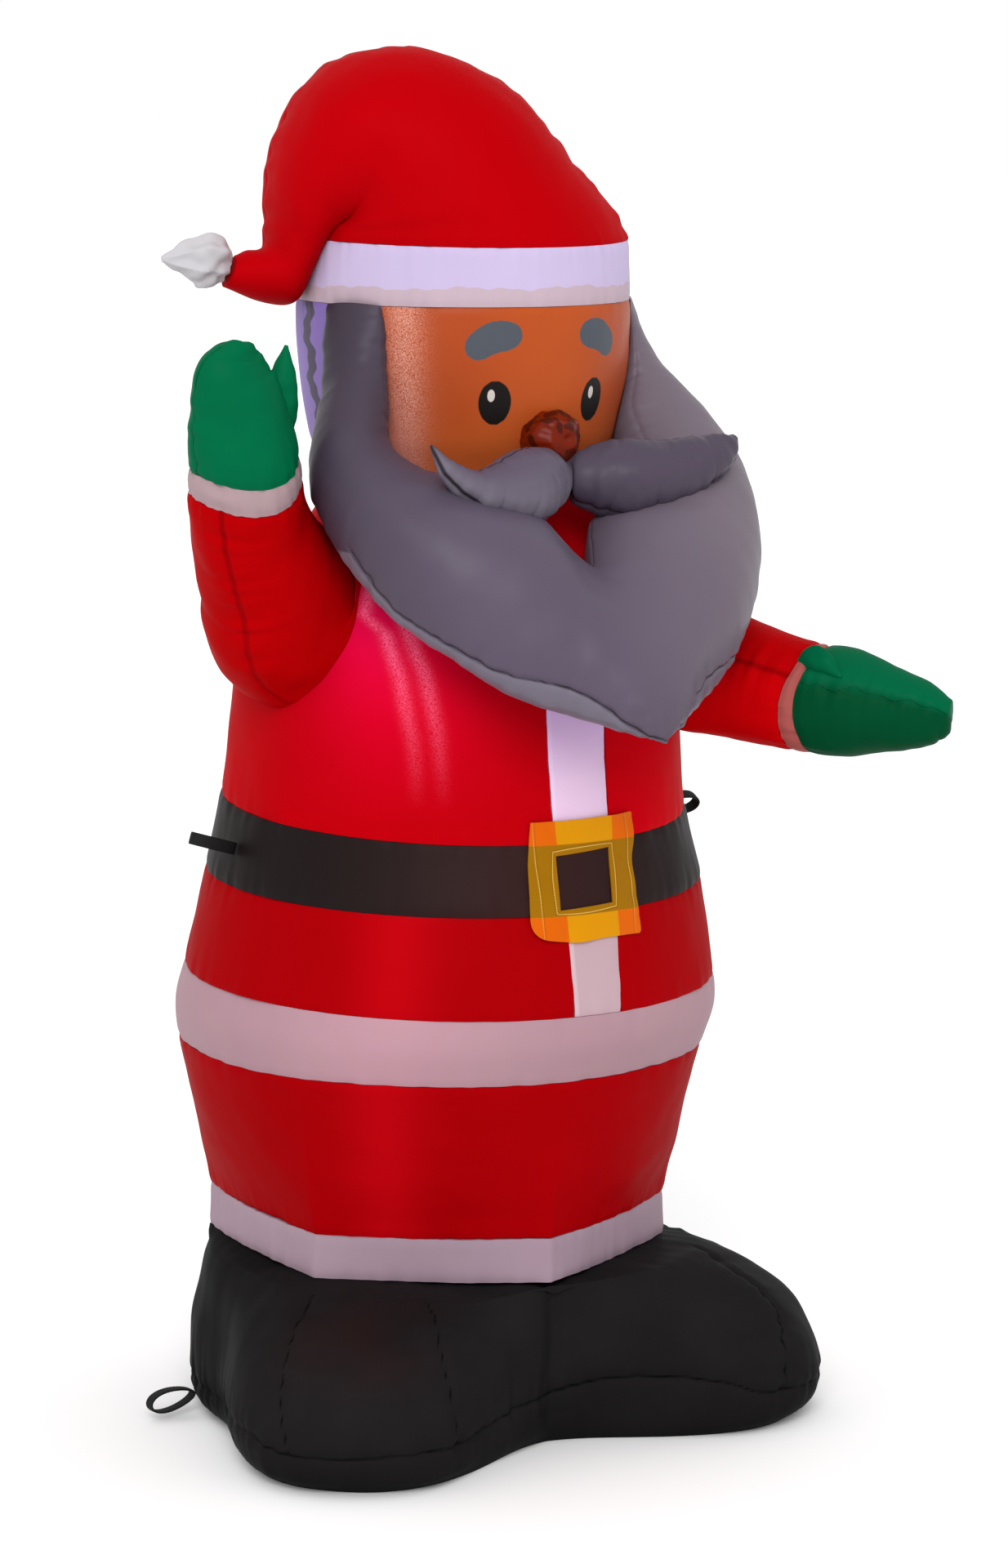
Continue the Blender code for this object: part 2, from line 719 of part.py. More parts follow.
def build():
    clear_scene()
    figure = new_collection("inflatable_santa")
    cutters = new_collection("cutters")
    column = add_column_cutter(cutters)

    add_boots(figure)
    add_band("hem_trim", "white_cloth", figure)
    add_band("coat_skirt", "red_cloth", figure)
    add_band("hip_trim", "white_cloth", figure)
    add_coat_panel("coat_waist", "placket_lower", figure)
    add_band("belt", "black_cloth", figure)
    add_coat_panel("coat_chest", "placket_upper", figure, above="coat_collar")
    add_head(figure)
    add_band("hat_band", "white_cloth", figure)
    buckle = loft_mesh("buckle", buckle_rings(), closed=True)
    add_part("buckle", buckle, "yellow_cloth", figure)

    clear = SEAM_GAP + 0.0007
    beard = add_part("beard", loft_mesh("beard", beard_rings()), "grey_cloth", figure)
    beard_clear = add_cutter("beard_clear", loft_mesh("b", beard_rings(clear)), cutters)
    cut(beard, column)
    nose = add_nose(figure, column)
    nose_mesh = bmesh.new()
    bmesh.ops.create_uvsphere(
        nose_mesh, u_segments=16, v_segments=10, radius=NOSE_RADIUS + clear
    )
    nose_made = bpy.data.meshes.new("nose_clear")
    nose_mesh.to_mesh(nose_made)
    nose_mesh.free()
    nose_clear = add_cutter("nose_clear", nose_made, cutters)
    nose_clear.location = nose.location
    for name, side in (("right", -1), ("left", 1)):
        title = f"moustache_{name}"
        lobe = add_part(
            title, loft_mesh(title, moustache_rings(side)), "grey_cloth", figure
        )
        cut(lobe, column, beard_clear, nose_clear)

    hat = add_part("hat", loft_mesh("hat", hat_rings()), "red_cloth", figure)
    cut(hat, column)
    add_part("pompom", loft_mesh("pompom", pompom_rings()), "white_cloth", figure)

    right_sleeve = add_arm(
        "right", RIGHT_ARM, RIGHT_CUFF, RIGHT_THUMB, (1, 0, 0.2), figure, cutters
    )
    left_sleeve = add_arm(
        "left", LEFT_ARM, LEFT_CUFF, LEFT_THUMB, (0, 0, 1), figure, cutters
    )
    cut(right_sleeve, column, beard_clear)
    cut(left_sleeve, column, beard_clear)
    add_loops(figure)


build()
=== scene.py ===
"""The looks of an inflatable Father Christmas, four feet tall, waving with its right mitten.

It is sewn from thin woven polyester and kept full of air, with a light inside. Each sewn panel is
its own piece, closed at its seams. The figure faces -Y and stands on the floor at Z = 0.
"""

import math

import bpy
import numpy as np
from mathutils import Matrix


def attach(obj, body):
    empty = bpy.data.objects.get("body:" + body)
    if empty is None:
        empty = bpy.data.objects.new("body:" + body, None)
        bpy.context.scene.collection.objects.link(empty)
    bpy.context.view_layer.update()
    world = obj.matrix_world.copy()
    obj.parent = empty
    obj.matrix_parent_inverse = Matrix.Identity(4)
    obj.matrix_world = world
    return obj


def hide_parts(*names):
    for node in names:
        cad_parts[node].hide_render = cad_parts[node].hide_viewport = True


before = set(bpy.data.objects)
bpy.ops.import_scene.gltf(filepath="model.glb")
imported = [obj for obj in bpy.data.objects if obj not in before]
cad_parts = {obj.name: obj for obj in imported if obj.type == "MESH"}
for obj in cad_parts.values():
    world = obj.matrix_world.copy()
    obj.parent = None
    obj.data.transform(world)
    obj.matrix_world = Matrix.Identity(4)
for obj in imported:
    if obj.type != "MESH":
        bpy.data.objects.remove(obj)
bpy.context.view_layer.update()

# The room. A white studio whose pale floor runs back as far as one sees, lit evenly from all
# round and by one large soft light above the camera, and a camera a little to the figure's
# right, as high as its hat.
EYE_PLACE = (-2.299, -3.752, 1.2)
EYE_TURN = (81.8, 0.0, -32.227)
EYE_LENS = 113.76
FLOOR_REACH = 40.0
FLOOR_COLOUR = "#F8F8F8"
ROOM_COLOUR = "#FFFFFF"
ROOM_STRENGTH = 1.0
KEY_PLACE = (-2.5, -3.6, 2.7)
KEY_STRENGTH = 1.6
KEY_WIDTH = 30.0


def linear(colour):
    """An sRGB hex colour as linear red, green and blue: (c + 0.055) / 1.055 to the power 2.4, or
    c / 12.92 where it is dark."""
    parts = np.array([int(colour[k : k + 2], 16) for k in (1, 3, 5)]) / 255
    return np.where(parts > 0.04045, ((parts + 0.055) / 1.055) ** 2.4, parts / 12.92)


def opaque(colour):
    """The linear colour with an alpha of 1."""
    return (*map(float, linear(colour)), 1.0)


def add_node(tree, kind, inputs=None, **settings):
    """A shader node with its settings, whose inputs are given as sockets to link or as values."""
    made = tree.nodes.new(kind)
    for name, value in settings.items():
        setattr(made, name, value)
    for name, value in (inputs or {}).items():
        if isinstance(value, bpy.types.NodeSocket):
            tree.links.new(value, made.inputs[name])
        else:
            made.inputs[name].default_value = value
    return made


eye = bpy.data.objects.new("eye", bpy.data.cameras.new("eye"))
eye.data.sensor_fit = "VERTICAL"
eye.data.sensor_height = 36.0
eye.data.lens = EYE_LENS
eye.data.clip_end = 60.0
eye.location = EYE_PLACE
eye.rotation_euler = [math.radians(part) for part in EYE_TURN]
bpy.context.scene.collection.objects.link(eye)
bpy.context.scene.camera = eye
bpy.context.scene.view_settings.view_transform = "Standard"

key = bpy.data.objects.new("key_light", bpy.data.lights.new("key_light", "SUN"))
key.data.energy = KEY_STRENGTH
key.data.angle = math.radians(KEY_WIDTH)
key.location = KEY_PLACE
key.rotation_euler = (
    math.atan2(math.hypot(KEY_PLACE[0], KEY_PLACE[1]), KEY_PLACE[2]),
    0.0,
    math.atan2(-KEY_PLACE[0], KEY_PLACE[1]) + math.pi,
)
bpy.context.scene.collection.objects.link(key)

room = bpy.data.worlds.new("room")
room.use_nodes = True
room_light = room.node_tree.nodes["Background"]
room_light.inputs["Color"].default_value = opaque(ROOM_COLOUR)
room_light.inputs["Strength"].default_value = ROOM_STRENGTH
bpy.context.scene.world = room

floor_mesh = bpy.data.meshes.new("floor")
floor_corners = [(x * FLOOR_REACH, y * FLOOR_REACH, 0) for x, y in ((-1, -1), (1, -1), (1, 1), (-1, 1))]
floor_mesh.from_pydata(floor_corners, [], [(0, 1, 2, 3)])
floor = bpy.data.objects.new("floor", floor_mesh)
bpy.context.scene.collection.objects.link(floor)
# Matt white paint, rolled on: even, with no shine.
painted_floor = bpy.data.materials.new("painted_floor")
painted_floor.use_nodes = True
floor_shader = painted_floor.node_tree.nodes["Principled BSDF"]
floor_shader.inputs["Base Color"].default_value = opaque(FLOOR_COLOUR)
floor_shader.inputs["Roughness"].default_value = 0.9
floor_shader.inputs["Specular IOR Level"].default_value = 0.0
floor_mesh.materials.append(painted_floor)


# The boots. One black lower body for both feet, of coated polyester with a dull sheen, sewn
# from a sole, sides and two toe panels, and drawn in where the cloth puckers at the seams.
HEIGHT = 1.22
# Heights and reaches in the tables are hundredths of the figure's height, and angles are degrees
# from its front, more to its left. Other lengths are metres.
PERCENT = HEIGHT / 100
SEAM_GAP = 0.0003
HEM_BOTTOM = 12.85
# Height, then the boots' reach at the toes, at the heel, and in front between the toes.
BOOT_PROFILE = [
    (0.00, 25.9, 17.3, 14.1),
    (0.90, 27.3, 18.6, 15.1),
    (2.60, 28.2, 19.1, 15.5),
    (4.40, 28.2, 19.1, 15.7),
    (6.60, 27.5, 18.8, 16.0),
    (8.90, 25.8, 18.3, 16.2),
    (10.90, 22.6, 17.8, 16.3),
    (12.10, 19.2, 17.3, 16.3),
]
BOOT_TOP_ROW = 12.10
TOE_ANGLE = 49.0
# The stops of each seam: angle and height.
TOE_SEAMS = [
    [(-60.6, 12.1), (-59.5, 11.2), (-57.9, 9.4), (-56.7, 7.1), (-55.1, 4.6), (-54.1, 3.0)],
    [(-35.0, 12.1), (-33.1, 11.4), (-31.6, 9.25), (-30.1, 7.0), (-29.3, 4.5), (-28.6, 2.9)],
    [(50.0, 12.1), (44.2, 11.1), (42.1, 9.75), (40.5, 8.3), (38.3, 6.75), (37.0, 3.2)],
    [(74.0, 12.1), (71.0, 11.1), (69.0, 9.4), (67.5, 7.1), (66.0, 4.6), (65.0, 3.0)],
]
SOLE_SEAM = [
    (-180, 2.6), (-120, 2.4), (-90, 2.6), (-75, 3.4), (-62, 3.6), (-56, 3.0), (-45, 3.0),
    (-34, 3.2), (-28, 2.9), (-15, 3.8), (-3, 3.8), (3, 4.2), (10, 4.7), (17, 4.9), (24, 4.7),
    (29, 4.2), (33, 3.3), (45, 2.9), (60, 3.0), (90, 2.6), (120, 2.4), (180, 2.6),
]  # fmt: skip
# The body's height, its radius, how far its middle is ahead of the boots' middle, the degrees that
# it leans down in front, and how much of a hexagon it is.
COLUMN = [
    (12.85, 16.95, -0.90, 2.0, 0.75),
    (16.05, 16.90, -0.85, 2.0, 0.65),
    (20.60, 17.75, -0.60, 1.6, 0.30),
    (27.85, 19.35, -0.10, 1.0, 0.05),
    (30.80, 19.80, 0.50, 1.5, 0.00),
    (33.20, 19.45, 1.00, 2.4, 0.00),
    (40.40, 18.15, 1.60, 2.5, 0.00),
    (45.70, 17.00, 1.65, 4.0, 0.00),
    (51.50, 16.40, 1.90, 4.0, 0.00),
    (57.00, 15.70, 2.20, 3.0, 0.00),
    (62.40, 13.80, 2.50, 2.0, 0.00),
    (65.90, 11.20, 2.70, 1.0, 0.00),
    (68.50, 9.90, 2.80, 0.0, 0.00),
    (72.80, 11.10, 2.90, 0.0, 0.00),
    (77.70, 11.90, 3.00, 0.3, 0.00),
    (82.10, 12.05, 3.05, 0.6, 0.00),
    (86.50, 11.80, 3.10, 2.0, 0.00),
]
HEXAGON_TURN = -2.5


def smooth(table, at):
    """A smooth curve through a table's rows: on each stretch the cubic whose slope at a row is
    the mean of the straight slopes beside it. The first column is what it is read at."""
    table = np.asarray(table, float)
    at = np.asarray(at, float)
    x, y = table[:, 0], table[:, 1:]
    straight = np.diff(y, axis=0) / np.diff(x)[:, None]
    slope = np.vstack([straight[:1], (straight[:-1] + straight[1:]) / 2, straight[-1:]])
    row = np.clip(np.searchsorted(x, at, side="right") - 1, 0, len(x) - 2)
    step = x[row + 1] - x[row]
    t = ((at - x[row]) / step)[..., None]
    step = step[..., None]
    return (
        y[row] * (1 + 2 * t) * (1 - t) ** 2
        + slope[row] * step * t * (1 - t) ** 2
        + y[row + 1] * t**2 * (3 - 2 * t)
        + slope[row + 1] * step * t**2 * (t - 1)
    )


def body_surface(height, angle, inset=0.0):
    """Points of the body at heights in hundredths and angles in radians from the front: a circle
    drawn towards a hexagon, moved forwards, whose front is lowered by reach * cos * tan(lean)."""
    height, angle = np.broadcast_arrays(height, angle)
    radius, shift, lean, hexagon = np.moveaxis(smooth(COLUMN, height), -1, 0)
    sixth = math.pi / 3
    past_corner = np.mod(angle - math.radians(HEXAGON_TURN), sixth)
    across = math.cos(sixth / 2) / np.cos(past_corner - sixth / 2)
    reach = radius * PERCENT * (1 + hexagon * (across - 1)) - inset
    drop = reach * np.cos(angle) * np.tan(np.radians(lean))
    ahead = -shift * PERCENT - reach * np.cos(angle)
    return np.stack([reach * np.sin(angle), ahead, height * PERCENT - drop], axis=-1)


def boot_surface(height, angle):
    """Points of the boots: a heel circle that narrows by exp(-(angle / 60)^2) towards the front,
    with a swell exp(-(off the toe / 27)^2.4) at each toe."""
    height, angle = np.broadcast_arrays(height, angle)
    toe, heel, between = np.moveaxis(smooth(BOOT_PROFILE, height), -1, 0)
    degrees = np.degrees(np.abs(angle))
    round_part = heel + (between - heel) * np.exp(-((degrees / 60) ** 2))
    swell = np.exp(-((np.abs(degrees - TOE_ANGLE) / 27) ** 2.4))
    reach = (round_part + (toe - round_part) * swell) * PERCENT
    return np.stack([reach * np.sin(angle), -reach * np.cos(angle), height * PERCENT], axis=-1)


def unit(vectors):
    """Vectors divided by their own lengths."""
    return vectors / np.linalg.norm(vectors, axis=-1, keepdims=True)


def run_along(line):
    """How far along a line each of its points is."""
    return np.concatenate([[0], np.cumsum(np.linalg.norm(np.diff(line, axis=0), axis=1))])


def moved_out(rows, amount):
    """Rows of points that run round a piece, moved along the surface's normal, which is the cross
    product of the steps round and along."""
    round_step = np.roll(rows, -1, axis=1) - np.roll(rows, 1, axis=1)
    normal = np.cross(round_step, np.gradient(rows, axis=0))
    normal = normal / np.maximum(np.linalg.norm(normal, axis=-1, keepdims=True), 1e-12)
    middle = rows.mean(axis=1, keepdims=True)
    if (normal * (rows - middle)).sum() < 0:
        normal = -normal
    return rows + normal * amount[..., None]


def soft_waves(points, size, seed):
    """A smooth uneven field about 0, of strength about 1: the sum of sixteen plane waves that run
    in all directions, with lengths from 0.6 to 1.7 of the size in metres."""
    pick = np.random.default_rng(seed)
    ways = unit(pick.normal(size=(16, 3))) * 2 * math.pi / (size * pick.uniform(0.6, 1.7, (16, 1)))
    return np.cos(points @ ways.T + pick.uniform(0, 2 * math.pi, 16)).sum(axis=-1) / 4


def puckers(turns, seed):
    """Uneven gathers along a seam: the sum of cosines of 0.5, 0.75, 1, 1.25, 1.5 and 2.25 waves
    for each turn, with seeded strengths and phases."""
    pick = np.random.default_rng(seed)
    rates = np.array([0.5, 0.75, 1.0, 1.25, 1.5, 2.25])
    strength = pick.uniform(0.3, 1.0, len(rates))
    phase = pick.uniform(0, 2 * math.pi, len(rates))
    waves = np.cos(2 * math.pi * np.asarray(turns)[..., None] * rates + phase)
    return (waves * strength).sum(axis=-1) / strength.sum() * 1.6


def sewn(distance, turns, seed, depth=0.0012, width=0.0035, rise=0.0007, reach=0.014):
    """The relief of a seam: a groove depth * exp(-(distance / width)^2), and puckers across it
    that die out as exp(-distance / reach)."""
    groove = -depth * np.exp(-((distance / width) ** 2))
    return groove + rise * puckers(turns, seed) * np.exp(-np.abs(distance) / reach)


def near_line(points, line):
    """How far each point is from the nearest point of a line, how far along the line that is,
    both in metres, and that nearest point."""
    flat = points.reshape(-1, 3)
    best = np.full(len(flat), 1e9)
    where = np.zeros(len(flat), int)
    for k, place in enumerate(line):
        gap = ((flat - place) ** 2).sum(axis=1)
        closer = gap < best
        best[closer] = gap[closer]
        where[closer] = k
    shape = points.shape[:-1]
    run = run_along(line)[where].reshape(shape)
    return np.sqrt(best).reshape(shape), run, line[where].reshape(points.shape)


SHARP_EDGE = 50.0


def skin(name, rows, marks=None, ring=False):
    """A closed skin over rows of points that run round the piece, with a fan at each end or, as
    a ring, its last row joined to its first. Its map is in metres of cloth, round and along.
    Marks are values at the points, kept as attributes."""
    many, round_count = rows.shape[:2]
    step = np.arange(round_count)
    past = (step + 1) % round_count
    low = np.arange(many if ring else many - 1)[:, None]
    high = (low + 1) % many
    corners = [low * round_count + step, low * round_count + past]
    corners += [high * round_count + past, high * round_count + step]
    quads = np.stack(np.broadcast_arrays(*corners), axis=-1).reshape(-1, 4)
    points = rows.reshape(-1, 3)
    around = np.linalg.norm(np.roll(rows, -1, axis=1) - rows, axis=2).mean(axis=0)
    u = np.concatenate([[0], np.cumsum(around)])
    lengths = np.linalg.norm(np.roll(rows, -1, axis=0) - rows, axis=2).mean(axis=1)
    v = np.concatenate([[0], np.cumsum(lengths)])
    places = [(u[step], v[low]), (u[step + 1], v[low]), (u[step + 1], v[low + 1]), (u[step], v[low + 1])]
    uv = np.stack([np.stack(np.broadcast_arrays(*p), axis=-1) for p in places], axis=-2)
    uv = uv.reshape(-1, 4, 2)
    a, b, c, d = (points[quads[:, k]] for k in range(4))
    inside_out = ((a * np.cross(b, c)).sum() + (a * np.cross(c, d)).sum()) < 0
    if inside_out:
        quads, uv = quads[:, ::-1], uv[:, ::-1]
    faces = quads.tolist()
    uv = [uv.reshape(-1, 2)]
    if not ring:
        points = np.vstack([points, rows[0].mean(axis=0), rows[-1].mean(axis=0)])
        for centre, start, turned in ((len(points) - 2, 0, False), (len(points) - 1, many - 1, True)):
            edge = start * round_count
            fan = np.stack([edge + past, edge + step, np.full(round_count, centre)], axis=-1)
            if turned != inside_out:
                fan = fan[:, ::-1]
            faces += fan.tolist()
            uv.append(np.tile([[0.0, v[start]]], (3 * round_count, 1)))
    mesh = bpy.data.meshes.new(f"{name}_cloth")
    mesh.from_pydata(points.tolist(), [], faces)
    layer = mesh.uv_layers.new(name="cloth")
    layer.data.foreach_set("uv", np.concatenate(uv).astype(np.float32).ravel())
    for mark, values in (marks or {}).items():
        full = np.zeros(len(points), np.float32)
        full[: many * round_count] = np.broadcast_to(values, rows.shape[:2]).ravel()
        if not ring:
            full[-2], full[-1] = full[0], full[many * round_count - 1]
        attribute = mesh.attributes.new(mark, "FLOAT", "POINT")
        attribute.data.foreach_set("value", full)
    mesh.shade_smooth()
    mesh.set_sharp_from_angle(angle=math.radians(SHARP_EDGE))
    made = bpy.data.objects.new(f"{name}_cloth", mesh)
    bpy.context.scene.collection.objects.link(made)
    return made


# Threads are 0.3 mm apart. They are drawn every 1.4 mm, because finer ones don't show: a wave
# texture's bands are 0.314 / scale apart. Patches of tone are about 110 mm, creases about 33 mm.
THREAD_SCALE = 225.0
PATCH_SCALE = 9.0
CREASE_SCALE = 30.0


def polyester(name, colour, shade, gloss, roughness=0.5):
    """Plain woven polyester cloth, thin and lightly coated. The eye sees one even colour, softly
    varied from the colour to the shade, faint threads, and fine creases, with little gloss."""
    made = bpy.data.materials.new(name)
    made.use_nodes = True
    tree = made.node_tree
    shader = tree.nodes["Principled BSDF"]
    shader.inputs["Roughness"].default_value = roughness
    shader.inputs["Specular IOR Level"].default_value = gloss
    place = add_node(tree, "ShaderNodeTexCoord").outputs["Object"]
    cloth = add_node(tree, "ShaderNodeUVMap", uv_map="cloth").outputs["UV"]
    patches = add_node(tree, "ShaderNodeTexNoise", {"Vector": place, "Scale": PATCH_SCALE, "Detail": 3.0})
    tones = {0: patches.outputs["Fac"], 6: opaque(colour), 7: opaque(shade)}
    tone = add_node(tree, "ShaderNodeMix", tones, data_type="RGBA")
    weave = {"Vector": cloth, "Scale": THREAD_SCALE, "Distortion": 0.6, "Detail Scale": 3.0}
    warp = add_node(tree, "ShaderNodeTexWave", weave, bands_direction="X").outputs["Fac"]
    weft = add_node(tree, "ShaderNodeTexWave", weave, bands_direction="Y").outputs["Fac"]
    threads = add_node(tree, "ShaderNodeMath", {0: warp, 1: weft}, operation="MULTIPLY")
    fold = {"Vector": place, "Scale": CREASE_SCALE, "Detail": 4.0, "Distortion": 0.8}
    creases = add_node(tree, "ShaderNodeTexNoise", fold)
    grid = {"Height": threads.outputs[0], "Strength": 0.07, "Distance": 0.0004}
    fine = add_node(tree, "ShaderNodeBump", grid).outputs["Normal"]
    slack = {"Height": creases.outputs["Fac"], "Strength": 0.10, "Distance": 0.004, "Normal": fine}
    soft = add_node(tree, "ShaderNodeBump", slack)
    tree.links.new(soft.outputs["Normal"], shader.inputs["Normal"])
    tree.links.new(tone.outputs[2], shader.inputs["Base Color"])
    return made


def socket_of(made, value):
    """A mark's name gives the socket that reads it; a socket or a number stays as it is."""
    if not isinstance(value, str):
        return value
    return add_node(made.node_tree, "ShaderNodeAttribute", attribute_name=value).outputs["Fac"]


def paint_over(made, colour, *shares):
    """Lays a colour over what the material has, as much as the product of the shares, each a
    mark's name, a socket or a number."""
    tree = made.node_tree
    shader = tree.nodes["Principled BSDF"]
    before = shader.inputs["Base Color"].links[0].from_socket
    share = socket_of(made, shares[0])
    for other in shares[1:]:
        pair = {0: share, 1: socket_of(made, other)}
        share = add_node(tree, "ShaderNodeMath", pair, operation="MULTIPLY").outputs[0]
    layers = {0: share, 6: before, 7: opaque(colour)}
    mixed = add_node(tree, "ShaderNodeMix", layers, data_type="RGBA")
    tree.links.new(mixed.outputs[2], shader.inputs["Base Color"])


def below(made, value, edge, soft):
    """1 where a value is under the edge, 0 where it is over, and a straight ramp between."""
    ramp = {0: socket_of(made, value), 1: edge - soft, 2: edge + soft, 3: 1.0, 4: 0.0}
    return add_node(made.node_tree, "ShaderNodeMapRange", ramp).outputs[0]


def above(made, value, edge, soft):
    """0 where a value is under the edge, 1 where it is over, and a straight ramp between."""
    ramp = {0: socket_of(made, value), 1: edge - soft, 2: edge + soft}
    return add_node(made.node_tree, "ShaderNodeMapRange", ramp).outputs[0]


def sew_on(piece, made, finish, *nodes):
    """The piece takes its cloth, hangs on the root and stands for its solids, which are hidden."""
    piece.data.materials.append(made)
    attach(piece, "root")
    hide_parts(*nodes)


# Black coated polyester, woven: nearly no gloss, a breath of red where the lamp shines through,
# painted shade on the right foot's outer side and low down, and darker along the stitches.
black_polyester = polyester("black_polyester", "#222021", "#121112", gloss=0.008)
paint_over(black_polyester, "#33100E", "warm")
paint_over(black_polyester, "#0E0D0D", "painted_shade")
paint_over(black_polyester, "#040404", below(black_polyester, "seam", 0.0012, 0.0010))

turn = np.linspace(-math.pi, math.pi, 480, endpoint=False)
foot_rows = np.concatenate([[0.0, 0.25, 0.55], np.linspace(0.9, BOOT_TOP_ROW, 50)])
boots = boot_surface(foot_rows[:, None], turn)
boot_top = body_surface(HEM_BOTTOM - SEAM_GAP / PERCENT, turn)
rise = np.linspace(0, 1, 9)[1:, None, None]
boots = np.concatenate([boots, boots[-1] * (1 - rise) + boot_top * rise])


def boot_line(stops, many):
    """A line on the boots whose angle and height run straight from stop to stop."""
    stops = np.array(stops, float)
    at = np.linspace(0, 1, many)
    own = np.linspace(0, 1, len(stops))
    angle = np.radians(np.interp(at, own, stops[:, 0]))
    return boot_surface(np.interp(at, own, stops[:, 1]), angle)


# Slow swells, a groove and puckers at each seam, gathers under the hem, and a deep fold in the
# middle, where the cloth is drawn in between the feet.
seam_distance = np.full(boots.shape[:2], 1.0)
boot_relief = 0.0024 * soft_waves(boots, 0.12, 3) + 0.0007 * soft_waves(boots, 0.05, 4)
for k, stops in enumerate([*TOE_SEAMS, SOLE_SEAM]):
    distance, along, _ = near_line(boots, boot_line(stops, 600 if stops is SOLE_SEAM else 120))
    boot_relief += sewn(distance, along / 0.034, 20 + k, 0.0022, width=0.0045, rise=0.0018, reach=0.020)
    seam_distance = np.minimum(seam_distance, distance)
top_distance = (boot_top[:, 2] - boots[:, :, 2]).clip(0)
boot_relief += sewn(top_distance, turn / (2 * math.pi) * 26, 30, depth=0.0012, rise=0.0005, reach=0.010)
boot_relief *= np.clip(boots[:, :, 2] / 0.012, 0, 1)
gutter = np.exp(-(((turn + 0.02) / 0.055) ** 2)) + 0.4 * np.exp(-(((turn - 0.06) / 0.03) ** 2))
boot_relief -= 0.006 * gutter * np.clip(boots[:, :, 2] / 0.03, 0, 1)
boots = moved_out(boots, boot_relief)
boots[:, :, 2] = boots[:, :, 2].clip(0)
boot_height = boots[:, :, 2] / PERCENT
warm = np.exp(-(((np.degrees(turn) + 46) / 13) ** 2) - ((boot_height - 10.2) / 2.6) ** 2)
warm = warm * (0.62 + 0.38 * soft_waves(boots, 0.06, 9)).clip(0, 1) * 0.26
# Painted shade: darker on the right foot's outer side, and low down near the floor.
painted_shade = 0.6 * np.exp(-(((np.degrees(turn) + 100) / 30) ** 2)) + 0.35 * np.exp(-((boot_height / 4) ** 2))
boot_marks = {"seam": seam_distance, "warm": warm, "painted_shade": painted_shade.clip(0, 0.7)}
sew_on(skin("boots", boots, boot_marks), black_polyester, "black_cloth", "boots")


# The coat. Red polyester in three panels, with bands of white sewn between them at the hem and
# the hips, a black belt, and a white strip let into the front above and below the belt.
SEAMS = {"hem": 16.05, "hip": 27.85, "waist": 33.20, "belt": 40.40, "chest": 45.70, "neck": 68.50}
COAT_TURNS = 40
# Height, and the angles of the strip's right and left edges.
STRIP_EDGES = [
    (33.20, -4.3, 7.2),
    (38.70, -5.6, 7.3),
    (45.70, -6.7, 8.9),
    (53.50, -8.4, 8.9),
    (63.50, -9.3, 9.6),
]
PANEL_DEPTH = 0.006
ROW_STEP = 0.0032


def body_radius(height):
    """The body's radius in metres at heights in hundredths."""
    return smooth(COLUMN, height)[..., 0] * PERCENT


def band_relief(height, angle, low, high, points, seed):
    """Seams along both edges of a band, whose puckers run on into the next band, and slow
    unevenness between them."""
    turns = angle / (2 * math.pi) * COAT_TURNS
    under = sewn((height - low) * PERCENT, turns, int(low * 100))
    over = sewn((high - height) * PERCENT, turns, int(high * 100))
    slow = 0.0009 * soft_waves(points, 0.14, seed) + 0.0003 * soft_waves(points, 0.05, seed + 1)
    return under + over + slow


def band_heights(low, high):
    """The heights of a band's rows, evenly about 3 mm apart, with half a seam's gap at each edge."""
    spare = SEAM_GAP / PERCENT / 2
    many = max(8, round((high - low) * PERCENT / ROW_STEP))
    return np.linspace(low + spare, high - spare, many)[:, None]


def turned_in(rows):
    """Adds a row inside each end, 5 mm towards the axis, as the seam allowance."""
    first = rows[0] + unit(rows[0].mean(axis=0) - rows[0]) * 0.005
    last = rows[-1] + unit(rows[-1].mean(axis=0) - rows[-1]) * 0.005
    return np.concatenate([first[None], rows, last[None]])


def padded_mark(values):
    """A mark with its first and last rows given twice, for the rows turned in."""
    return np.concatenate([values[:1], values, values[-1:]])


def band(name, low, high, made, finish, seed):
    """One band round the body: its surface from one height to another, moved out by the relief."""
    height = band_heights(low, high)
    rows = body_surface(height, turn)
    rows = moved_out(rows, band_relief(height, turn, low, high, rows, seed))
    piece = skin(name, turned_in(rows), {"height": padded_mark(height), "angle": np.degrees(turn)})
    sew_on(piece, made, finish, name)
    return piece


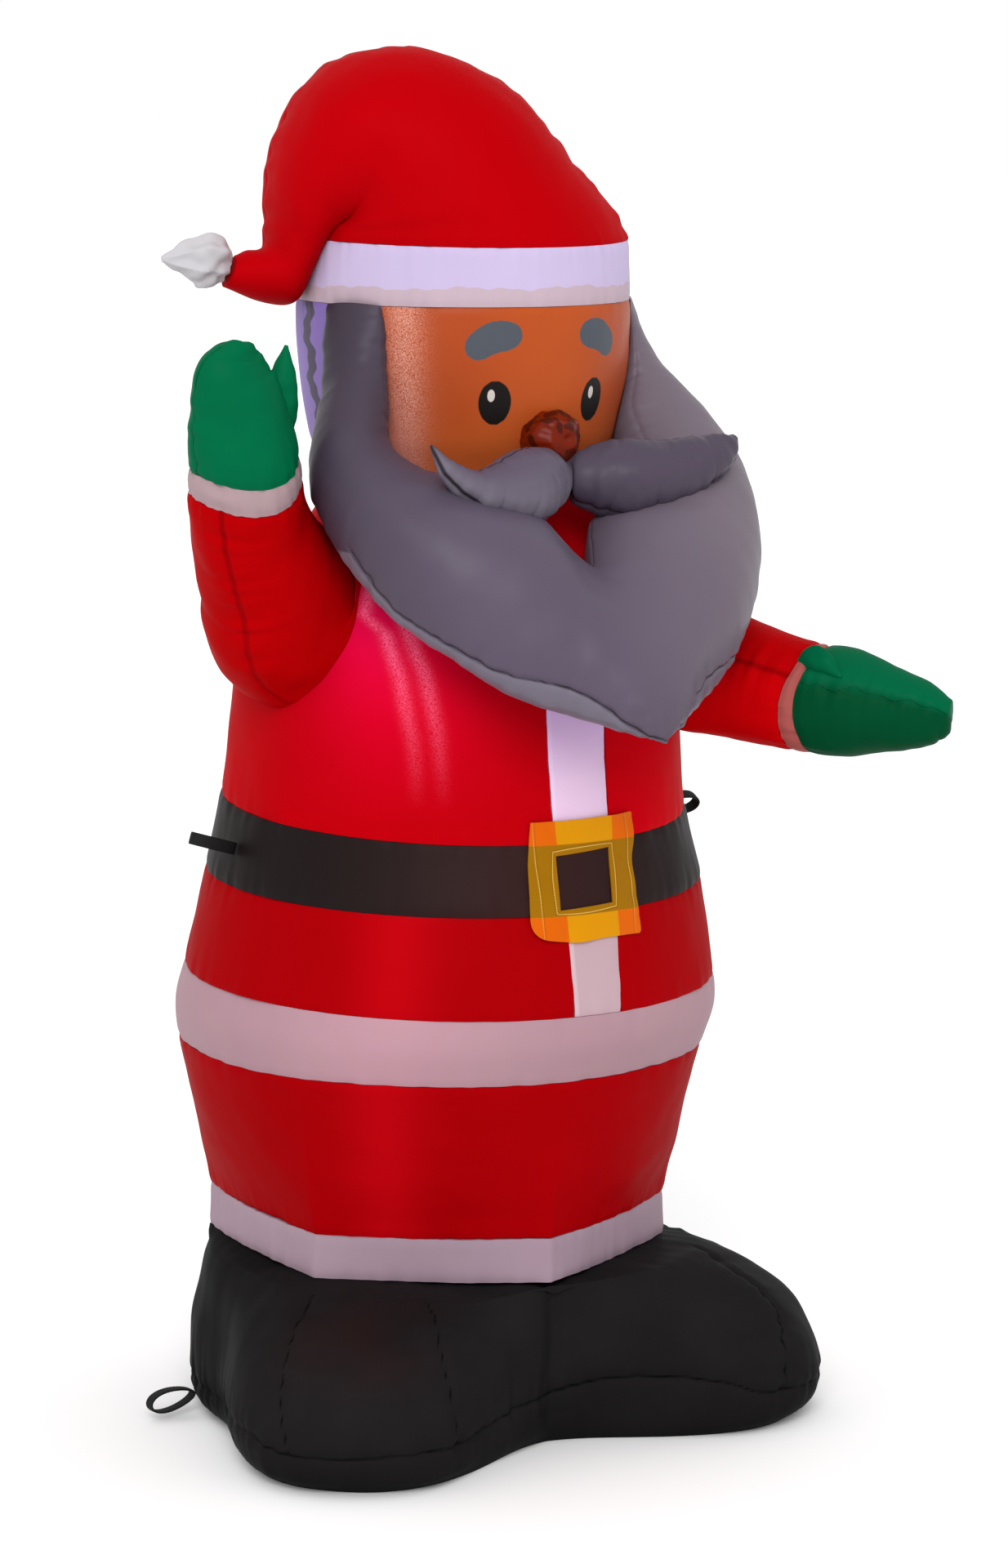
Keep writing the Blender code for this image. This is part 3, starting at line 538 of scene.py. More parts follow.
def parted_panel(name, strip_name, low, high, top, made, strip_made, finish, strip_finish, edges, seed):
    """A panel with another let into its front between two angles, as two closed pieces: the body's
    surface, less the strip's depth between the edges. Over the strip's top it runs on whole."""
    height = band_heights(low, top)
    left, right = np.moveaxis(np.radians(smooth(edges, height[:, 0].clip(None, edges[-1][0]))), -1, 0)
    outside = right[:, None] + np.linspace(0, 1, 440) * (2 * math.pi - (right - left))[:, None]
    across = left[:, None] + np.linspace(0, 1, 36)[1:-1] * (right - left)[:, None]
    angle = np.concatenate([outside, across], axis=1)
    depth = np.where(height <= high, PANEL_DEPTH, 0.0)
    inset = np.concatenate([0 * outside, 0 * across + depth], axis=1)
    rows = body_surface(height, angle, inset)
    radius = body_radius(height)
    wrapped = np.mod(angle + math.pi, 2 * math.pi) - math.pi
    relief = band_relief(height, wrapped, low, top, rows, seed)
    side = np.minimum(np.abs(wrapped - right[:, None]), np.abs(wrapped - left[:, None])) * radius
    side_seam = sewn(side, height * PERCENT / 0.04, seed + 7, depth=0.0004, rise=0.0004)
    relief += np.where(height <= high, side_seam, 0)
    relief = np.where(inset > 0, -0.001, relief)
    rows = moved_out(rows, relief)
    marks = {"height": padded_mark(height), "angle": padded_mark(np.degrees(wrapped))}
    outer_piece = skin(name, turned_in(rows), marks)
    sew_on(outer_piece, made, finish, name)

    height = band_heights(low, high)
    left, right = np.moveaxis(np.radians(smooth(edges, height[:, 0])), -1, 0)
    spare = SEAM_GAP / body_radius(height[:, 0])
    span = (right - left - 2 * spare)[:, None]
    front = (left + spare)[:, None] + np.linspace(0, 1, 48) * span
    angle = np.concatenate([front, front[:, ::-1]], axis=1)
    inset = np.concatenate([0 * front, 0 * front + PANEL_DEPTH - 0.002], axis=1)
    rows = body_surface(height, angle, inset)
    radius = body_radius(height)
    side = np.minimum(right[:, None] - angle, angle - left[:, None]) * radius
    relief = band_relief(height, angle, low, high, rows, seed)
    relief += sewn(side, height * PERCENT / 0.04, seed + 7, depth=0.0004, rise=0.0004)
    relief = np.where(inset > 0, 0.0, relief)
    outwards = unit(rows * np.array([1, 1, 0]) + np.array([0, 1, 0]) * 0.03)
    rows = rows + outwards * relief[..., None]
    inlaid = skin(strip_name, rows, {"height": height, "angle": np.degrees(angle), "side": side})
    sew_on(inlaid, strip_made, strip_finish, strip_name)
    return outer_piece, inlaid


def bump_of(made, value, centre, width):
    """exp(-((value - centre) / width)^2) of a mark."""
    tree = made.node_tree
    off = {0: socket_of(made, value), 1: centre}
    off = add_node(tree, "ShaderNodeMath", off, operation="SUBTRACT").outputs[0]
    part = add_node(tree, "ShaderNodeMath", {0: off, 1: width}, operation="DIVIDE").outputs[0]
    square = add_node(tree, "ShaderNodeMath", {0: part, 1: part}, operation="MULTIPLY").outputs[0]
    less = add_node(tree, "ShaderNodeMath", {0: square, 1: -1.0}, operation="MULTIPLY").outputs[0]
    return add_node(tree, "ShaderNodeMath", {0: less}, operation="EXPONENT").outputs[0]


def lamp_streak(made, colour, strength, centre=-44.0, width=9.0):
    """The lamp inside shows through thin cloth as a soft upright streak about an angle."""
    paint_over(made, colour, bump_of(made, "angle", centre, width), strength)


# Red polyester, woven and thin: flat deep red, brighter in a streak where the lamp shines through.
red_polyester = polyester("red_polyester", "#990006", "#8E0004", gloss=0.008)
lamp_streak(red_polyester, "#C40614", 0.35)
# White polyester over red, painted with the light it gets: a dull pinkish white, greyer in shade at
# the hem and pinker at the hips from the red lamp light, with painted streaks of lamp light.
hem_white = polyester("hem_white_polyester", "#98818D", "#8B7683", gloss=0.1, roughness=0.55)
lamp_streak(hem_white, "#AA929C", 0.3, centre=-84.0, width=30.0)
hip_white = polyester("hip_white_polyester", "#A3828A", "#997781", gloss=0.1, roughness=0.55)
lamp_streak(hip_white, "#BC8A98", 0.4, width=18.0)
# Black polyester on the belt: matt, and faintly brown in the middle, where it is lit from inside.
belt_black = polyester("belt_polyester", "#1B1414", "#171111", gloss=0.05)
lamp_streak(belt_black, "#351B1B", 0.65, centre=-12.0, width=32.0)
# White polyester with the lamp behind it: pale under the belt, and lilac high on the chest. A
# narrow line on its right edge is the seam allowance, seen through it.
strip_low_white = polyester("lower_strip_polyester", "#B3979F", "#A98D95", gloss=0.1, roughness=0.55)
strip_high_white = polyester("upper_strip_polyester", "#DCBEDB", "#CDAEC9", gloss=0.1, roughness=0.55)
for made, line in ((strip_low_white, "#C8AEB4"), (strip_high_white, "#DCC4DE")):
    paint_over(made, line, below(made, "side", 0.0042, 0.0003), below(made, "angle", 0.0, 0.5), 0.5)
paint_over(strip_high_white, "#C49AE0", above(strip_high_white, "height", 53.0, 3.0), 0.6)

band("hem_trim", HEM_BOTTOM, SEAMS["hem"], hem_white, "white_cloth", 41)
band("coat_skirt", SEAMS["hem"], SEAMS["hip"], red_polyester, "red_cloth", 42)
band("hip_trim", SEAMS["hip"], SEAMS["waist"], hip_white, "white_cloth", 43)
parted_panel(
    "coat_waist", "placket_lower", SEAMS["waist"], SEAMS["belt"], SEAMS["belt"],
    red_polyester, strip_low_white, "red_cloth", "white_cloth", STRIP_EDGES, 44,
)  # fmt: skip
band("belt", SEAMS["belt"], SEAMS["chest"], belt_black, "black_cloth", 45)

# The same red cloth over the lamp: brighter, pink high on its right side, with a fine grain of
# light specks along two streaks. The specks of 0.5 mm are drawn as 1.3 mm ones, to show.
chest_red = polyester("chest_polyester", "#AD000A", "#A10007", gloss=0.008)
SPECK_SIZE = 0.0013
STRIP_TOP = 63.5
# The stops of each streak: angle and height.
STREAKS = [
    [(-41.0, 46.0), (-41.5, 50.0), (-42.3, 52.0), (-45.7, 56.3), (-50.4, 59.3), (-57.0, 60.5)],
    [(-34.0, 46.5), (-36.1, 52.5), (-39.2, 56.4), (-44.2, 59.4), (-48.0, 61.5)],
]
chest, _ = parted_panel(
    "coat_chest", "placket_upper", SEAMS["chest"], STRIP_TOP, SEAMS["neck"],
    chest_red, strip_high_white, "red_cloth", "white_cloth", STRIP_EDGES, 46,
)  # fmt: skip


def mark_piece(piece, marks):
    """Adds marks worked out from a piece's own points, as attributes."""
    mesh = piece.data
    points = np.empty(len(mesh.vertices) * 3, np.float32)
    mesh.vertices.foreach_get("co", points)
    points = points.reshape(-1, 3)
    for mark, work_out in marks.items():
        attribute = mesh.attributes.new(mark, "FLOAT", "POINT")
        attribute.data.foreach_set("value", work_out(points).astype(np.float32))


def grain(made, size, low, high):
    """Specks of a size in metres, 0 up to the low noise value and 1 from the high one."""
    tree = made.node_tree
    place = add_node(tree, "ShaderNodeTexCoord").outputs["Object"]
    noise = add_node(tree, "ShaderNodeTexNoise", {"Vector": place, "Scale": 1 / size, "Detail": 2.0})
    ramp = {0: noise.outputs["Fac"], 1: low, 2: high}
    return add_node(tree, "ShaderNodeMapRange", ramp).outputs[0]


# The chest's axis is this far ahead of the middle.
CHEST_AHEAD = 0.024


def chest_place(points):
    """The angle in degrees from the front and the height in hundredths."""
    angle = np.degrees(np.arctan2(points[:, 0], -(points[:, 1] + CHEST_AHEAD)))
    return angle, points[:, 2] / PERCENT


def lamp_glow(points):
    """The broad glow of the lamp inside: exp(-((angle + 46) / 24)^2), growing from the belt up."""
    angle, height = chest_place(points)
    return np.exp(-(((angle + 46) / 24) ** 2)) * np.clip((height - 46) / 13, 0, 1)


def lamp_streaks(points):
    """Two streaks that lean outwards as they rise, each exp(-(degrees off its line / 1.8)^2)."""
    angle, height = chest_place(points)
    total = 0.0
    for line in STREAKS:
        stops = np.array(line)
        off = angle - np.interp(height, stops[:, 1], stops[:, 0])
        total = total + np.exp(-((off / 1.8) ** 2))
    return total.clip(0, 1) * np.clip((height - 47) / 12, 0, 1) ** 1.4


mark_piece(chest, {"glow": lamp_glow, "streak": lamp_streaks})
lamp_streak(chest_red, "#C80012", 0.6, centre=28.0, width=26.0)
paint_over(chest_red, "#D8022A", "glow", 0.8)
high_up = bump_of(chest_red, "height", 64.0, 6.0)
paint_over(chest_red, "#E61060", high_up, bump_of(chest_red, "angle", -54.0, 16.0), 0.6)
paint_over(chest_red, "#FF6E98", "streak", grain(chest_red, SPECK_SIZE, 0.30, 0.62), 0.75)


# The head. A white cloth cylinder with a brown face panel let into its front, eyes and brows
# printed flat on it, a ball nose drawn together at its rim, and the hat's white band above.
BAND_BOTTOM = 82.10
BAND_TOP = 86.50
FACE_EDGES = [(68.5, -61.0, 61.0), (75.0, -60.5, 60.5), (82.1, -60.0, 60.0)]
FACE_RADIUS = 0.1403
FACE_AHEAD = 0.0366
EYE_ANGLE = 20.5
EYE_HEIGHT = 75.3
# The sheen's specks, where single threads shine, are 0.3 mm. They are drawn as 1.1 mm ones.
SHEEN_SPECK = 0.0011
# Half sizes: an eye's in metres, and its glint's in degrees and in hundredths of the height.
EYE_HALF = (0.0142, 0.0192)
GLINT_HALF = (1.30, 0.44)
# A brow's three soft blobs: across, up from the eyes, half width and half height, in metres.
BROW = [
    (0.0395, 0.0575, 0.0122, 0.0113),
    (0.0525, 0.0568, 0.0122, 0.0120),
    (0.0655, 0.0478, 0.0105, 0.0118),
]

# White polyester lit through from inside: lilac beside the face, paler behind.
head_white = polyester("head_white_polyester", "#836BAC", "#715BA0", gloss=0.15)
# Brown polyester with a printed face and painted light: warm orange in front, where it is lit,
# brighter low down, a grainy sheen where it turns away on its right side, and pink light low there.
face_brown = polyester("face_polyester", "#A54519", "#983A14", gloss=0.12, roughness=0.4)
head_back, face = parted_panel(
    "head_back", "face", SEAMS["neck"], BAND_BOTTOM, BAND_BOTTOM,
    head_white, face_brown, "white_cloth", "brown_cloth", FACE_EDGES, 50,
)  # fmt: skip


def round_head(points):
    """The angle in radians from the front, round the head's middle."""
    return np.arctan2(points[:, 0], -(points[:, 1] + FACE_AHEAD))


def face_place(points):
    """Across and up on the face panel in metres: angle * radius, and height over the eyes' line."""
    return round_head(points) * FACE_RADIUS, points[:, 2] - EYE_HEIGHT * PERCENT


def oval(points, centre, half):
    """Under 0 inside an oval, and about the distance from its rim in metres."""
    across, up = face_place(points)
    out = np.hypot((across - centre[0]) / half[0], (up - centre[1]) / half[1])
    return (out - 1) * min(half)


def both(work_out):
    """The lesser of a field for the figure's right side and for its left side."""
    return lambda points: np.minimum(work_out(points, -1), work_out(points, 1))


def brow(points, side):
    """A bean: under 0 where the sum of the blobs exp(-(across / wide)^2 - (up / tall)^2) is over
    0.42, and about the distance from its rim in metres."""
    across, up = face_place(points)
    blobs = 0.0
    for place, height, wide, tall in BROW:
        blobs = blobs + np.exp(-(((across - side * place) / wide) ** 2) - ((up - height) / tall) ** 2)
    return (0.42 - blobs) * 0.012


eye_across = math.radians(EYE_ANGLE) * FACE_RADIUS
mark_piece(
    face,
    {
        "eye": both(lambda points, side: oval(points, (side * eye_across, 0.0), EYE_HALF)),
        "brow": both(brow),
    },
)
paint_over(face_brown, "#B4501C", bump_of(face_brown, "angle", 4.0, 26.0), 0.5)
# Painted lamp light, brighter low on the face.
paint_over(face_brown, "#CC6630", bump_of(face_brown, "height", 70.5, 3.2), 0.55)
shine = bump_of(face_brown, "angle", -52.0, 7.0)
paint_over(face_brown, "#F0B8A8", shine, grain(face_brown, SHEEN_SPECK, 0.34, 0.70), 0.65)
# Painted pink light low at the face's right edge, beside the sheen.
painted_pink_light = bump_of(face_brown, "angle", -58.0, 9.0)
paint_over(face_brown, "#D08078", painted_pink_light, bump_of(face_brown, "height", 71.0, 4.0), 0.6)
paint_over(face_brown, "#484D55", below(face_brown, "brow", 0.0, 0.0003))
paint_over(face_brown, "#120E0C", below(face_brown, "eye", 0.0, 0.0003))
for side in (-1, 1):
    across = bump_of(face_brown, "angle", side * EYE_ANGLE - 1.3, GLINT_HALF[0])
    tall = bump_of(face_brown, "height", EYE_HEIGHT + 0.55, GLINT_HALF[1])
    glint = add_node(face_brown.node_tree, "ShaderNodeMath", {0: across, 1: tall}, operation="MULTIPLY")
    paint_over(face_brown, "#C4BAB4", above(face_brown, glint.outputs[0], 0.37, 0.05))

for behind in (below(head_white, "angle", -134.0, 9.0), above(head_white, "angle", 134.0, 9.0)):
    paint_over(head_white, "#A79CBE", behind, 0.6)
paint_over(head_white, "#443C52", below(head_white, "wavy", 0.0085, 0.0004))

# White polyester, lit through: lilac, and a warmer grey where it is double at its turned-up edge.
band_white = polyester("hat_band_polyester", "#BCAFCD", "#B2A2C4", gloss=0.1, roughness=0.55)
paint_over(band_white, "#B29DA8", below(band_white, "turned_up", 0.0, 0.0002))
hat_band = band("hat_band", BAND_BOTTOM, BAND_TOP, band_white, "white_cloth", 52)


def wavy_allowance(points):
    """The seam allowance of the back of the head, seen through it: the distance in metres from an
    upright line 98 degrees round, waved by 2 sin(150 z) + sin(390 z + 1) degrees."""
    wave = 2.0 * np.sin(points[:, 2] * 150) + 1.0 * np.sin(points[:, 2] * 390 + 1.0)
    return np.radians(np.abs(np.degrees(round_head(points)) + 98 + wave)) * FACE_RADIUS


def turned_up_edge(points):
    """Height over the cut of the band's edge, turned up inside by about 15 mm: three sines round
    the band make the cut uneven."""
    angle = round_head(points)
    cut = 0.0145 + 0.0011 * np.sin(angle * 9) + 0.0008 * np.sin(angle * 23 + 2)
    return points[:, 2] - BAND_BOTTOM * PERCENT - cut - 0.0006 * np.sin(angle * 51)


mark_piece(head_back, {"wavy": wavy_allowance})
mark_piece(hat_band, {"turned_up": turned_up_edge})


def full_turn(many):
    """So many angles evenly round a full turn, from 0."""
    return np.linspace(0, 2 * math.pi, many, endpoint=False)


NOSE_RADIUS = 0.0255
NOSE_HEIGHT = 72.6
# Shiny brown cloth, drawn tight: smoother than the rest, with random dark patches of painted shade
# for the shade in its folds.
nose_cloth = polyester("nose_polyester", "#761C03", "#561302", gloss=0.10, roughness=0.28)
paint_over(nose_cloth, "#300C04", grain(nose_cloth, 0.015, 0.52, 0.545), 0.75)
head_reach, head_ahead, _, _ = smooth(COLUMN, NOSE_HEIGHT) * PERCENT
nose_centre = np.array([0, -head_ahead - head_reach - 0.4 * NOSE_RADIUS, NOSE_HEIGHT * PERCENT])
# A ball in polar angles, open behind, gathered round its rim and dented at its front.
polar = np.linspace(0.05, 2.5, 60)[:, None]
around = full_turn(120)
nose = [np.sin(polar) * np.cos(around), -np.cos(polar) + 0 * around, np.sin(polar) * np.sin(around)]
nose = np.stack(nose, axis=-1)
rim = np.clip(np.sin(polar), 0, 1) ** 2
nose_relief = 0.0006 * puckers(around / (2 * math.pi) * 10, 61) * rim + 0.0016 * soft_waves(nose, 0.8, 62)
nose_relief -= 0.004 * np.exp(-(((nose[..., 0] - 0.1) ** 2 + (nose[..., 2] - 0.1) ** 2) / 0.03))
nose = nose_centre + nose * (NOSE_RADIUS + nose_relief)[..., None]
sew_on(skin("nose", nose), nose_cloth, "nose_cloth", "nose")


# The beard and the moustache. Grey polyester with a soft satin face, sewn as pillows whose two
# faces meet at a puckered seam: one collar from ear to ear, and two lobes with pointed ends.
BEARD_PINCH = 1.25
BEARD_AHEAD = 0.03
# Along a side from the point (0) to the ear (1), the inner edge's and the outer edge's place out to
# the side, back and up, and half the thickness.
BEARD = [
    (0.00, 0.0, -21.5, 62.5, 0.0, -29.6, 52.8, 2.6),
    (0.12, 2.0, -16.4, 66.7, 4.0, -26.8, 54.3, 4.3),
    (0.30, 5.8, -16.4, 68.8, 10.4, -22.0, 57.4, 4.9),
    (0.50, 8.8, -14.2, 71.8, 15.1, -15.6, 62.4, 4.8),
    (0.70, 10.2, -11.8, 75.2, 16.3, -9.2, 69.0, 3.7),
    (0.85, 10.6, -10.0, 78.4, 13.5, -6.2, 75.6, 1.7),
    (1.00, 10.4, -9.0, 82.0, 12.2, -4.9, 82.0, 0.6),
]
# The stops of the seam in front, from the ear to the point.
BEARD_SEAM = [
    (16.35, -14.67, 65.72), (15.54, -16.22, 63.66), (14.03, -18.04, 61.60), (12.47, -20.22, 60.06),
    (10.56, -22.30, 58.46), (8.81, -23.70, 57.62), (6.02, -26.20, 56.73), (3.83, -27.37, 55.44),
    (1.60, -28.48, 53.73), (0.0, -29.6, 52.9),
]  # fmt: skip
# The lobes' centres out to the side, back and up, half sizes up and deep, pinch and dip. Both
# begin alike under the nose.
LOBE_START = [
    (0.03, -16.0, 70.1, 1.0, 1.2, 1.2, 0.0),
    (0.50, -16.0, 70.1, 1.4, 1.5, 1.2, 0.0),
    (1.7, -16.7, 70.0, 2.3, 2.0, 1.2, 0.0),
]
MOUSTACHE = {
    "right": [
        *LOBE_START,
        (4.2, -17.8, 69.6, 2.8, 2.5, 1.2, 0.0),
        (6.8, -18.5, 69.5, 2.2, 2.1, 1.2, 0.0),
        (9.0, -18.9, 70.0, 1.3, 1.5, 1.2, 0.0),
        (10.9, -19.1, 71.1, 0.8, 0.9, 1.2, 0.0),
        (12.5, -19.1, 73.0, 0.12, 0.15, 1.2, 0.0),
    ],
    "left": [
        *LOBE_START,
        (4.2, -17.8, 69.9, 2.9, 2.6, 1.2, 0.0),
        (7.5, -18.6, 70.2, 2.5, 2.3, 1.2, 0.0),
        (10.2, -19.0, 71.0, 1.9, 1.7, 1.2, 0.0),
        (12.1, -19.2, 72.0, 1.1, 0.7, 1.2, 0.0),
        (12.7, -19.1, 72.6, 0.3, 0.3, 1.2, 0.0),
    ],
}
# Short creases across each lobe's lower seam: the distance along it in metres, and the slant.
CREASES = {
    "right": [(0.034, 0.5), (0.072, -0.3), (0.098, 0.2)],
    "left": [(0.040, 0.2), (0.078, -0.15), (0.100, 0.3), (0.128, 0.4)],
}


def kept_outside_body(rows, gap):
    """Moves points that are inside the body straight out to its surface and a gap beyond."""
    flat = rows.reshape(-1, 3).copy()
    height = flat[:, 2] / PERCENT
    for _ in range(2):
        radius, shift, lean, _ = np.moveaxis(smooth(COLUMN, height.clip(HEM_BOTTOM, BAND_TOP)), -1, 0)
        ahead = -(flat[:, 1] + shift * PERCENT)
        height = (flat[:, 2] + ahead * np.tan(np.radians(lean))) / PERCENT
    reach = np.hypot(flat[:, 0], ahead)
    least = radius * PERCENT + gap
    push = np.where((reach < least) & (height < BAND_TOP), least / np.maximum(reach, 1e-6), 1.0)
    flat[:, 0] *= push
    flat[:, 1] = -shift * PERCENT - ahead * push
    return flat.reshape(rows.shape)


def laid_on(line, rows, spread=7):
    """A line whose points go to the nearest points of the rows, evened out by the mean of each
    point and its neighbours within the spread."""
    flat = rows.reshape(-1, 3)
    near = np.array([flat[((flat - place) ** 2).sum(axis=1).argmin()] for place in line])
    wide = np.pad(near, ((spread, spread), (0, 0)), mode="edge")
    return np.mean([wide[k : k + len(near)] for k in range(2 * spread + 1)], axis=0)


def powered(values, power):
    """Values without their sign to a power, with their sign again."""
    return np.sign(values) * np.abs(values) ** power


def beard_rows(many, round_count):
    """Sections between the inner and the outer edge: cos along them, and sin to the power pinch of
    the half thickness square to the edge and the run. The pillow opens beside the right cheek and
    closes beside the left one, by exp(-(off / width)^2)."""
    along = np.linspace(-1, 1, many)
    read = smooth(BEARD, np.abs(along)) * PERCENT
    mirror = np.column_stack([np.sign(along), np.ones((many, 2))])
    inner, outer = read[:, 0:3] * mirror, read[:, 3:6] * mirror
    open_right = np.exp(-(((along + 0.60) / 0.16) ** 2))[:, None]
    close_left = np.exp(-(((along - 0.66) / 0.14) ** 2))[:, None]
    inner = inner + PERCENT * open_right * [-1.2, 1.0, -1.2] + PERCENT * close_left * [-0.9, 0.8, 0.0]
    centres, half = (inner + outer) / 2, (outer - inner) / 2
    normal = unit(np.cross(half, unit(np.gradient(centres, axis=0))))
    section = full_turn(round_count)
    lift = powered(np.sin(section), BEARD_PINCH)
    flat = centres[:, None] + np.cos(section)[:, None] * half[:, None]
    return flat + (lift * read[:, 6:7])[..., None] * normal[:, None], section, along


def swept(table, at, section, side_axis):
    """Sections along a smooth line of centres: cos of the first half size along the side axis,
    and sin to the power pinch of the second across it, less dip * sin^2 back along the line. They
    lie at the given runs, or so many of them evenly from end to end."""
    table = np.array(table, float)
    table = np.column_stack([run_along(table[:, :3]), table])
    if isinstance(at, int):
        at = np.linspace(table[0, 0], table[-1, 0], at)
    read = smooth(table, at)
    tangent = unit(smooth(table, at + 0.05)[:, :3] - smooth(table, at - 0.05)[:, :3])
    side = np.broadcast_to(np.array(side_axis, float), tangent.shape)
    side = unit(side - (side * tangent).sum(axis=1, keepdims=True) * tangent)
    across = np.cross(tangent, side)
    sine = np.sin(section)
    u = read[:, 3:4] * np.cos(section)
    v = read[:, 4:5] * powered(sine, read[:, 5:6])
    w = -read[:, 6:7] * sine**2
    rows = read[:, None, :3] + u[..., None] * side[:, None] + v[..., None] * across[:, None]
    return (rows + w[..., None] * tangent[:, None]) * PERCENT, at


def from_zero(angle):
    """How far an angle in radians is from 0, the shorter way round."""
    return np.abs(np.angle(np.exp(1j * angle)))


def through(rows, many):
    """So many points of the smooth curve through rows, evenly from row to row."""
    numbered = np.column_stack([np.arange(len(rows)), rows])
    return smooth(numbered, np.linspace(0, len(rows) - 1, many))


# Grey polyester, densely woven: a soft satin face with painted light and shade. It darkens in the
# shade of the hat on its right side and near the point, is lit on its left, and is paler under the
# front seam, where the lower half shows in light from below; one moustache lobe is painted in shade.
grey_polyester = polyester("grey_polyester", "#564D5D", "#4D4353", gloss=0.15, roughness=0.42)
paint_over(grey_polyester, "#2E2530", "painted_shade", 0.95)
paint_over(grey_polyester, "#6A5F69", "lit", 0.8)
paint_over(grey_polyester, "#6E6874", above(grey_polyester, "under", 0.5, 0.5), 0.7)
paint_over(grey_polyester, "#262029", below(grey_polyester, "seam", 0.0011, 0.0006))

beard, section, along = beard_rows(360, 220)
from_edge = from_zero(section)
# The cloth is drawn smooth across the point, except at its lower edge.
drawn = 0.5 * np.exp(-((along / 0.16) ** 2))[:, None] * (1 - np.exp(-((from_edge / 1.1) ** 2)))
for _ in range(150):
    beard[1:-1] += drawn[1:-1, :, None] * ((beard[:-2] + beard[2:]) / 2 - beard[1:-1])
half_way = np.linalg.norm(beard[:, 0] - beard[:, len(section) // 2], axis=1)[:, None] / 2
run = run_along(beard[:, 0])[:, None]
stops = np.array(BEARD_SEAM) * PERCENT
stops = np.vstack([stops * [-1, 1, 1], stops[-2::-1]])
seam_line = laid_on(through(stops, 500), beard)
seam_distance, seam_run, nearest = near_line(beard, seam_line)
tip = seam_line[len(seam_line) // 2]
tip_near = np.exp(-((np.linalg.norm(beard - tip, axis=2) / 0.035) ** 2))
outer_distance, inner_distance = from_edge * half_way * 0.55, (math.pi - from_edge) * half_way * 0.55
beard_relief = sewn(seam_distance, seam_run / 0.030, 70, 0.0022, width=0.0026, rise=0.0014, reach=0.012)
beard_relief += sewn(outer_distance, run / 0.036, 69, depth=0.0, rise=0.0011, reach=0.016)
beard_relief += 0.0013 * tip_near * soft_waves(beard, 0.012, 74)
beard_relief += sewn(inner_distance, run / 0.03, 71, depth=0.001, rise=0.0008, reach=0.014)
beard_relief += 0.0020 * soft_waves(beard, 0.13, 72) + 0.0005 * soft_waves(beard, 0.045, 73)
beard = kept_outside_body(moved_out(beard, beard_relief), 0.0006)
beard_angle = np.degrees(np.arctan2(beard[..., 0], -(beard[..., 1] + BEARD_AHEAD)))
in_front = (beard[..., 1] < -0.12) * (beard[..., 0] < 0.006)
marks = {
    "seam": seam_distance,
    # Painted: light below the front seam, shade on the right side and near the point, light on the left.
    "under": (nearest[..., 2] - beard[..., 2]) / 0.002 * in_front,
    "painted_shade": np.clip((-30 - beard_angle) / 45, 0, 1) + 0.3 * tip_near,
    "lit": np.clip((beard_angle + 8) / 36, 0, 1),
}
sew_on(skin("beard", beard, marks), grey_polyester, "grey_cloth", "beard")

# The lobes. The lower seam lies 2.5 radians round the section, low on the front.
LOW_SEAM = 2.5
lip_section = full_turn(96)
for side_name, side in (("right", -1), ("left", 1)):
    lobe, at = swept(MOUSTACHE[side_name], 150, lip_section, (0, 0, 1))
    lobe = lobe * np.array([side, 1, 1])
    tall = np.linalg.norm(lobe[:, 0] - lobe[:, len(lip_section) // 2], axis=1)[:, None] / 2
    low_seam = np.abs(lip_section - LOW_SEAM) * tall * 0.6
    high_seam = from_zero(lip_section) * tall * 0.6
    lobe_run = (at * PERCENT)[:, None]
    relief = sewn(low_seam, lobe_run / 0.022, 80 + side, width=0.0028, rise=0.0011, reach=0.016)
    relief += sewn(high_seam, lobe_run / 0.022, 84 + side, 0.0006, width=0.003, rise=0.0006, reach=0.010)
    relief += 0.0008 * soft_waves(lobe, 0.05, 88 + side) + 0.0002 * soft_waves(lobe, 0.018, 90 + side)
    for place, slant in CREASES[side_name]:
        off = lobe_run - place - slant * low_seam
        relief -= 0.0030 * np.exp(-np.abs(off) / 0.0020) * np.exp(-low_seam / 0.012)
    relief *= np.clip(tall / 0.012, 0.1, 1)
    lobe = kept_outside_body(moved_out(lobe, relief), 0.001)
    lobe[..., 0] = side * (side * lobe[..., 0]).clip(SEAM_GAP)
    name = f"moustache_{side_name}"
    # Painted light from below on the right lobe's lower side, and painted shade on the whole left lobe.
    lower = (0.6 - 0.9 * np.cos(lip_section)).clip(0, 1) * (side == -1)
    marks = {"seam": np.minimum(low_seam, high_seam), "under": lower, "painted_shade": 0.45 * (side == 1)}
    sew_on(skin(name, lobe, marks), grey_polyester, "grey_cloth", name)


# The hat. A red cone that bends over to the figure's right and hangs down beside the band, sewn
# from two halves along its ridge, and a small gathered bag of white cloth at its tip.
HAT_BEND = -103.0
HAT_ROUND = 240
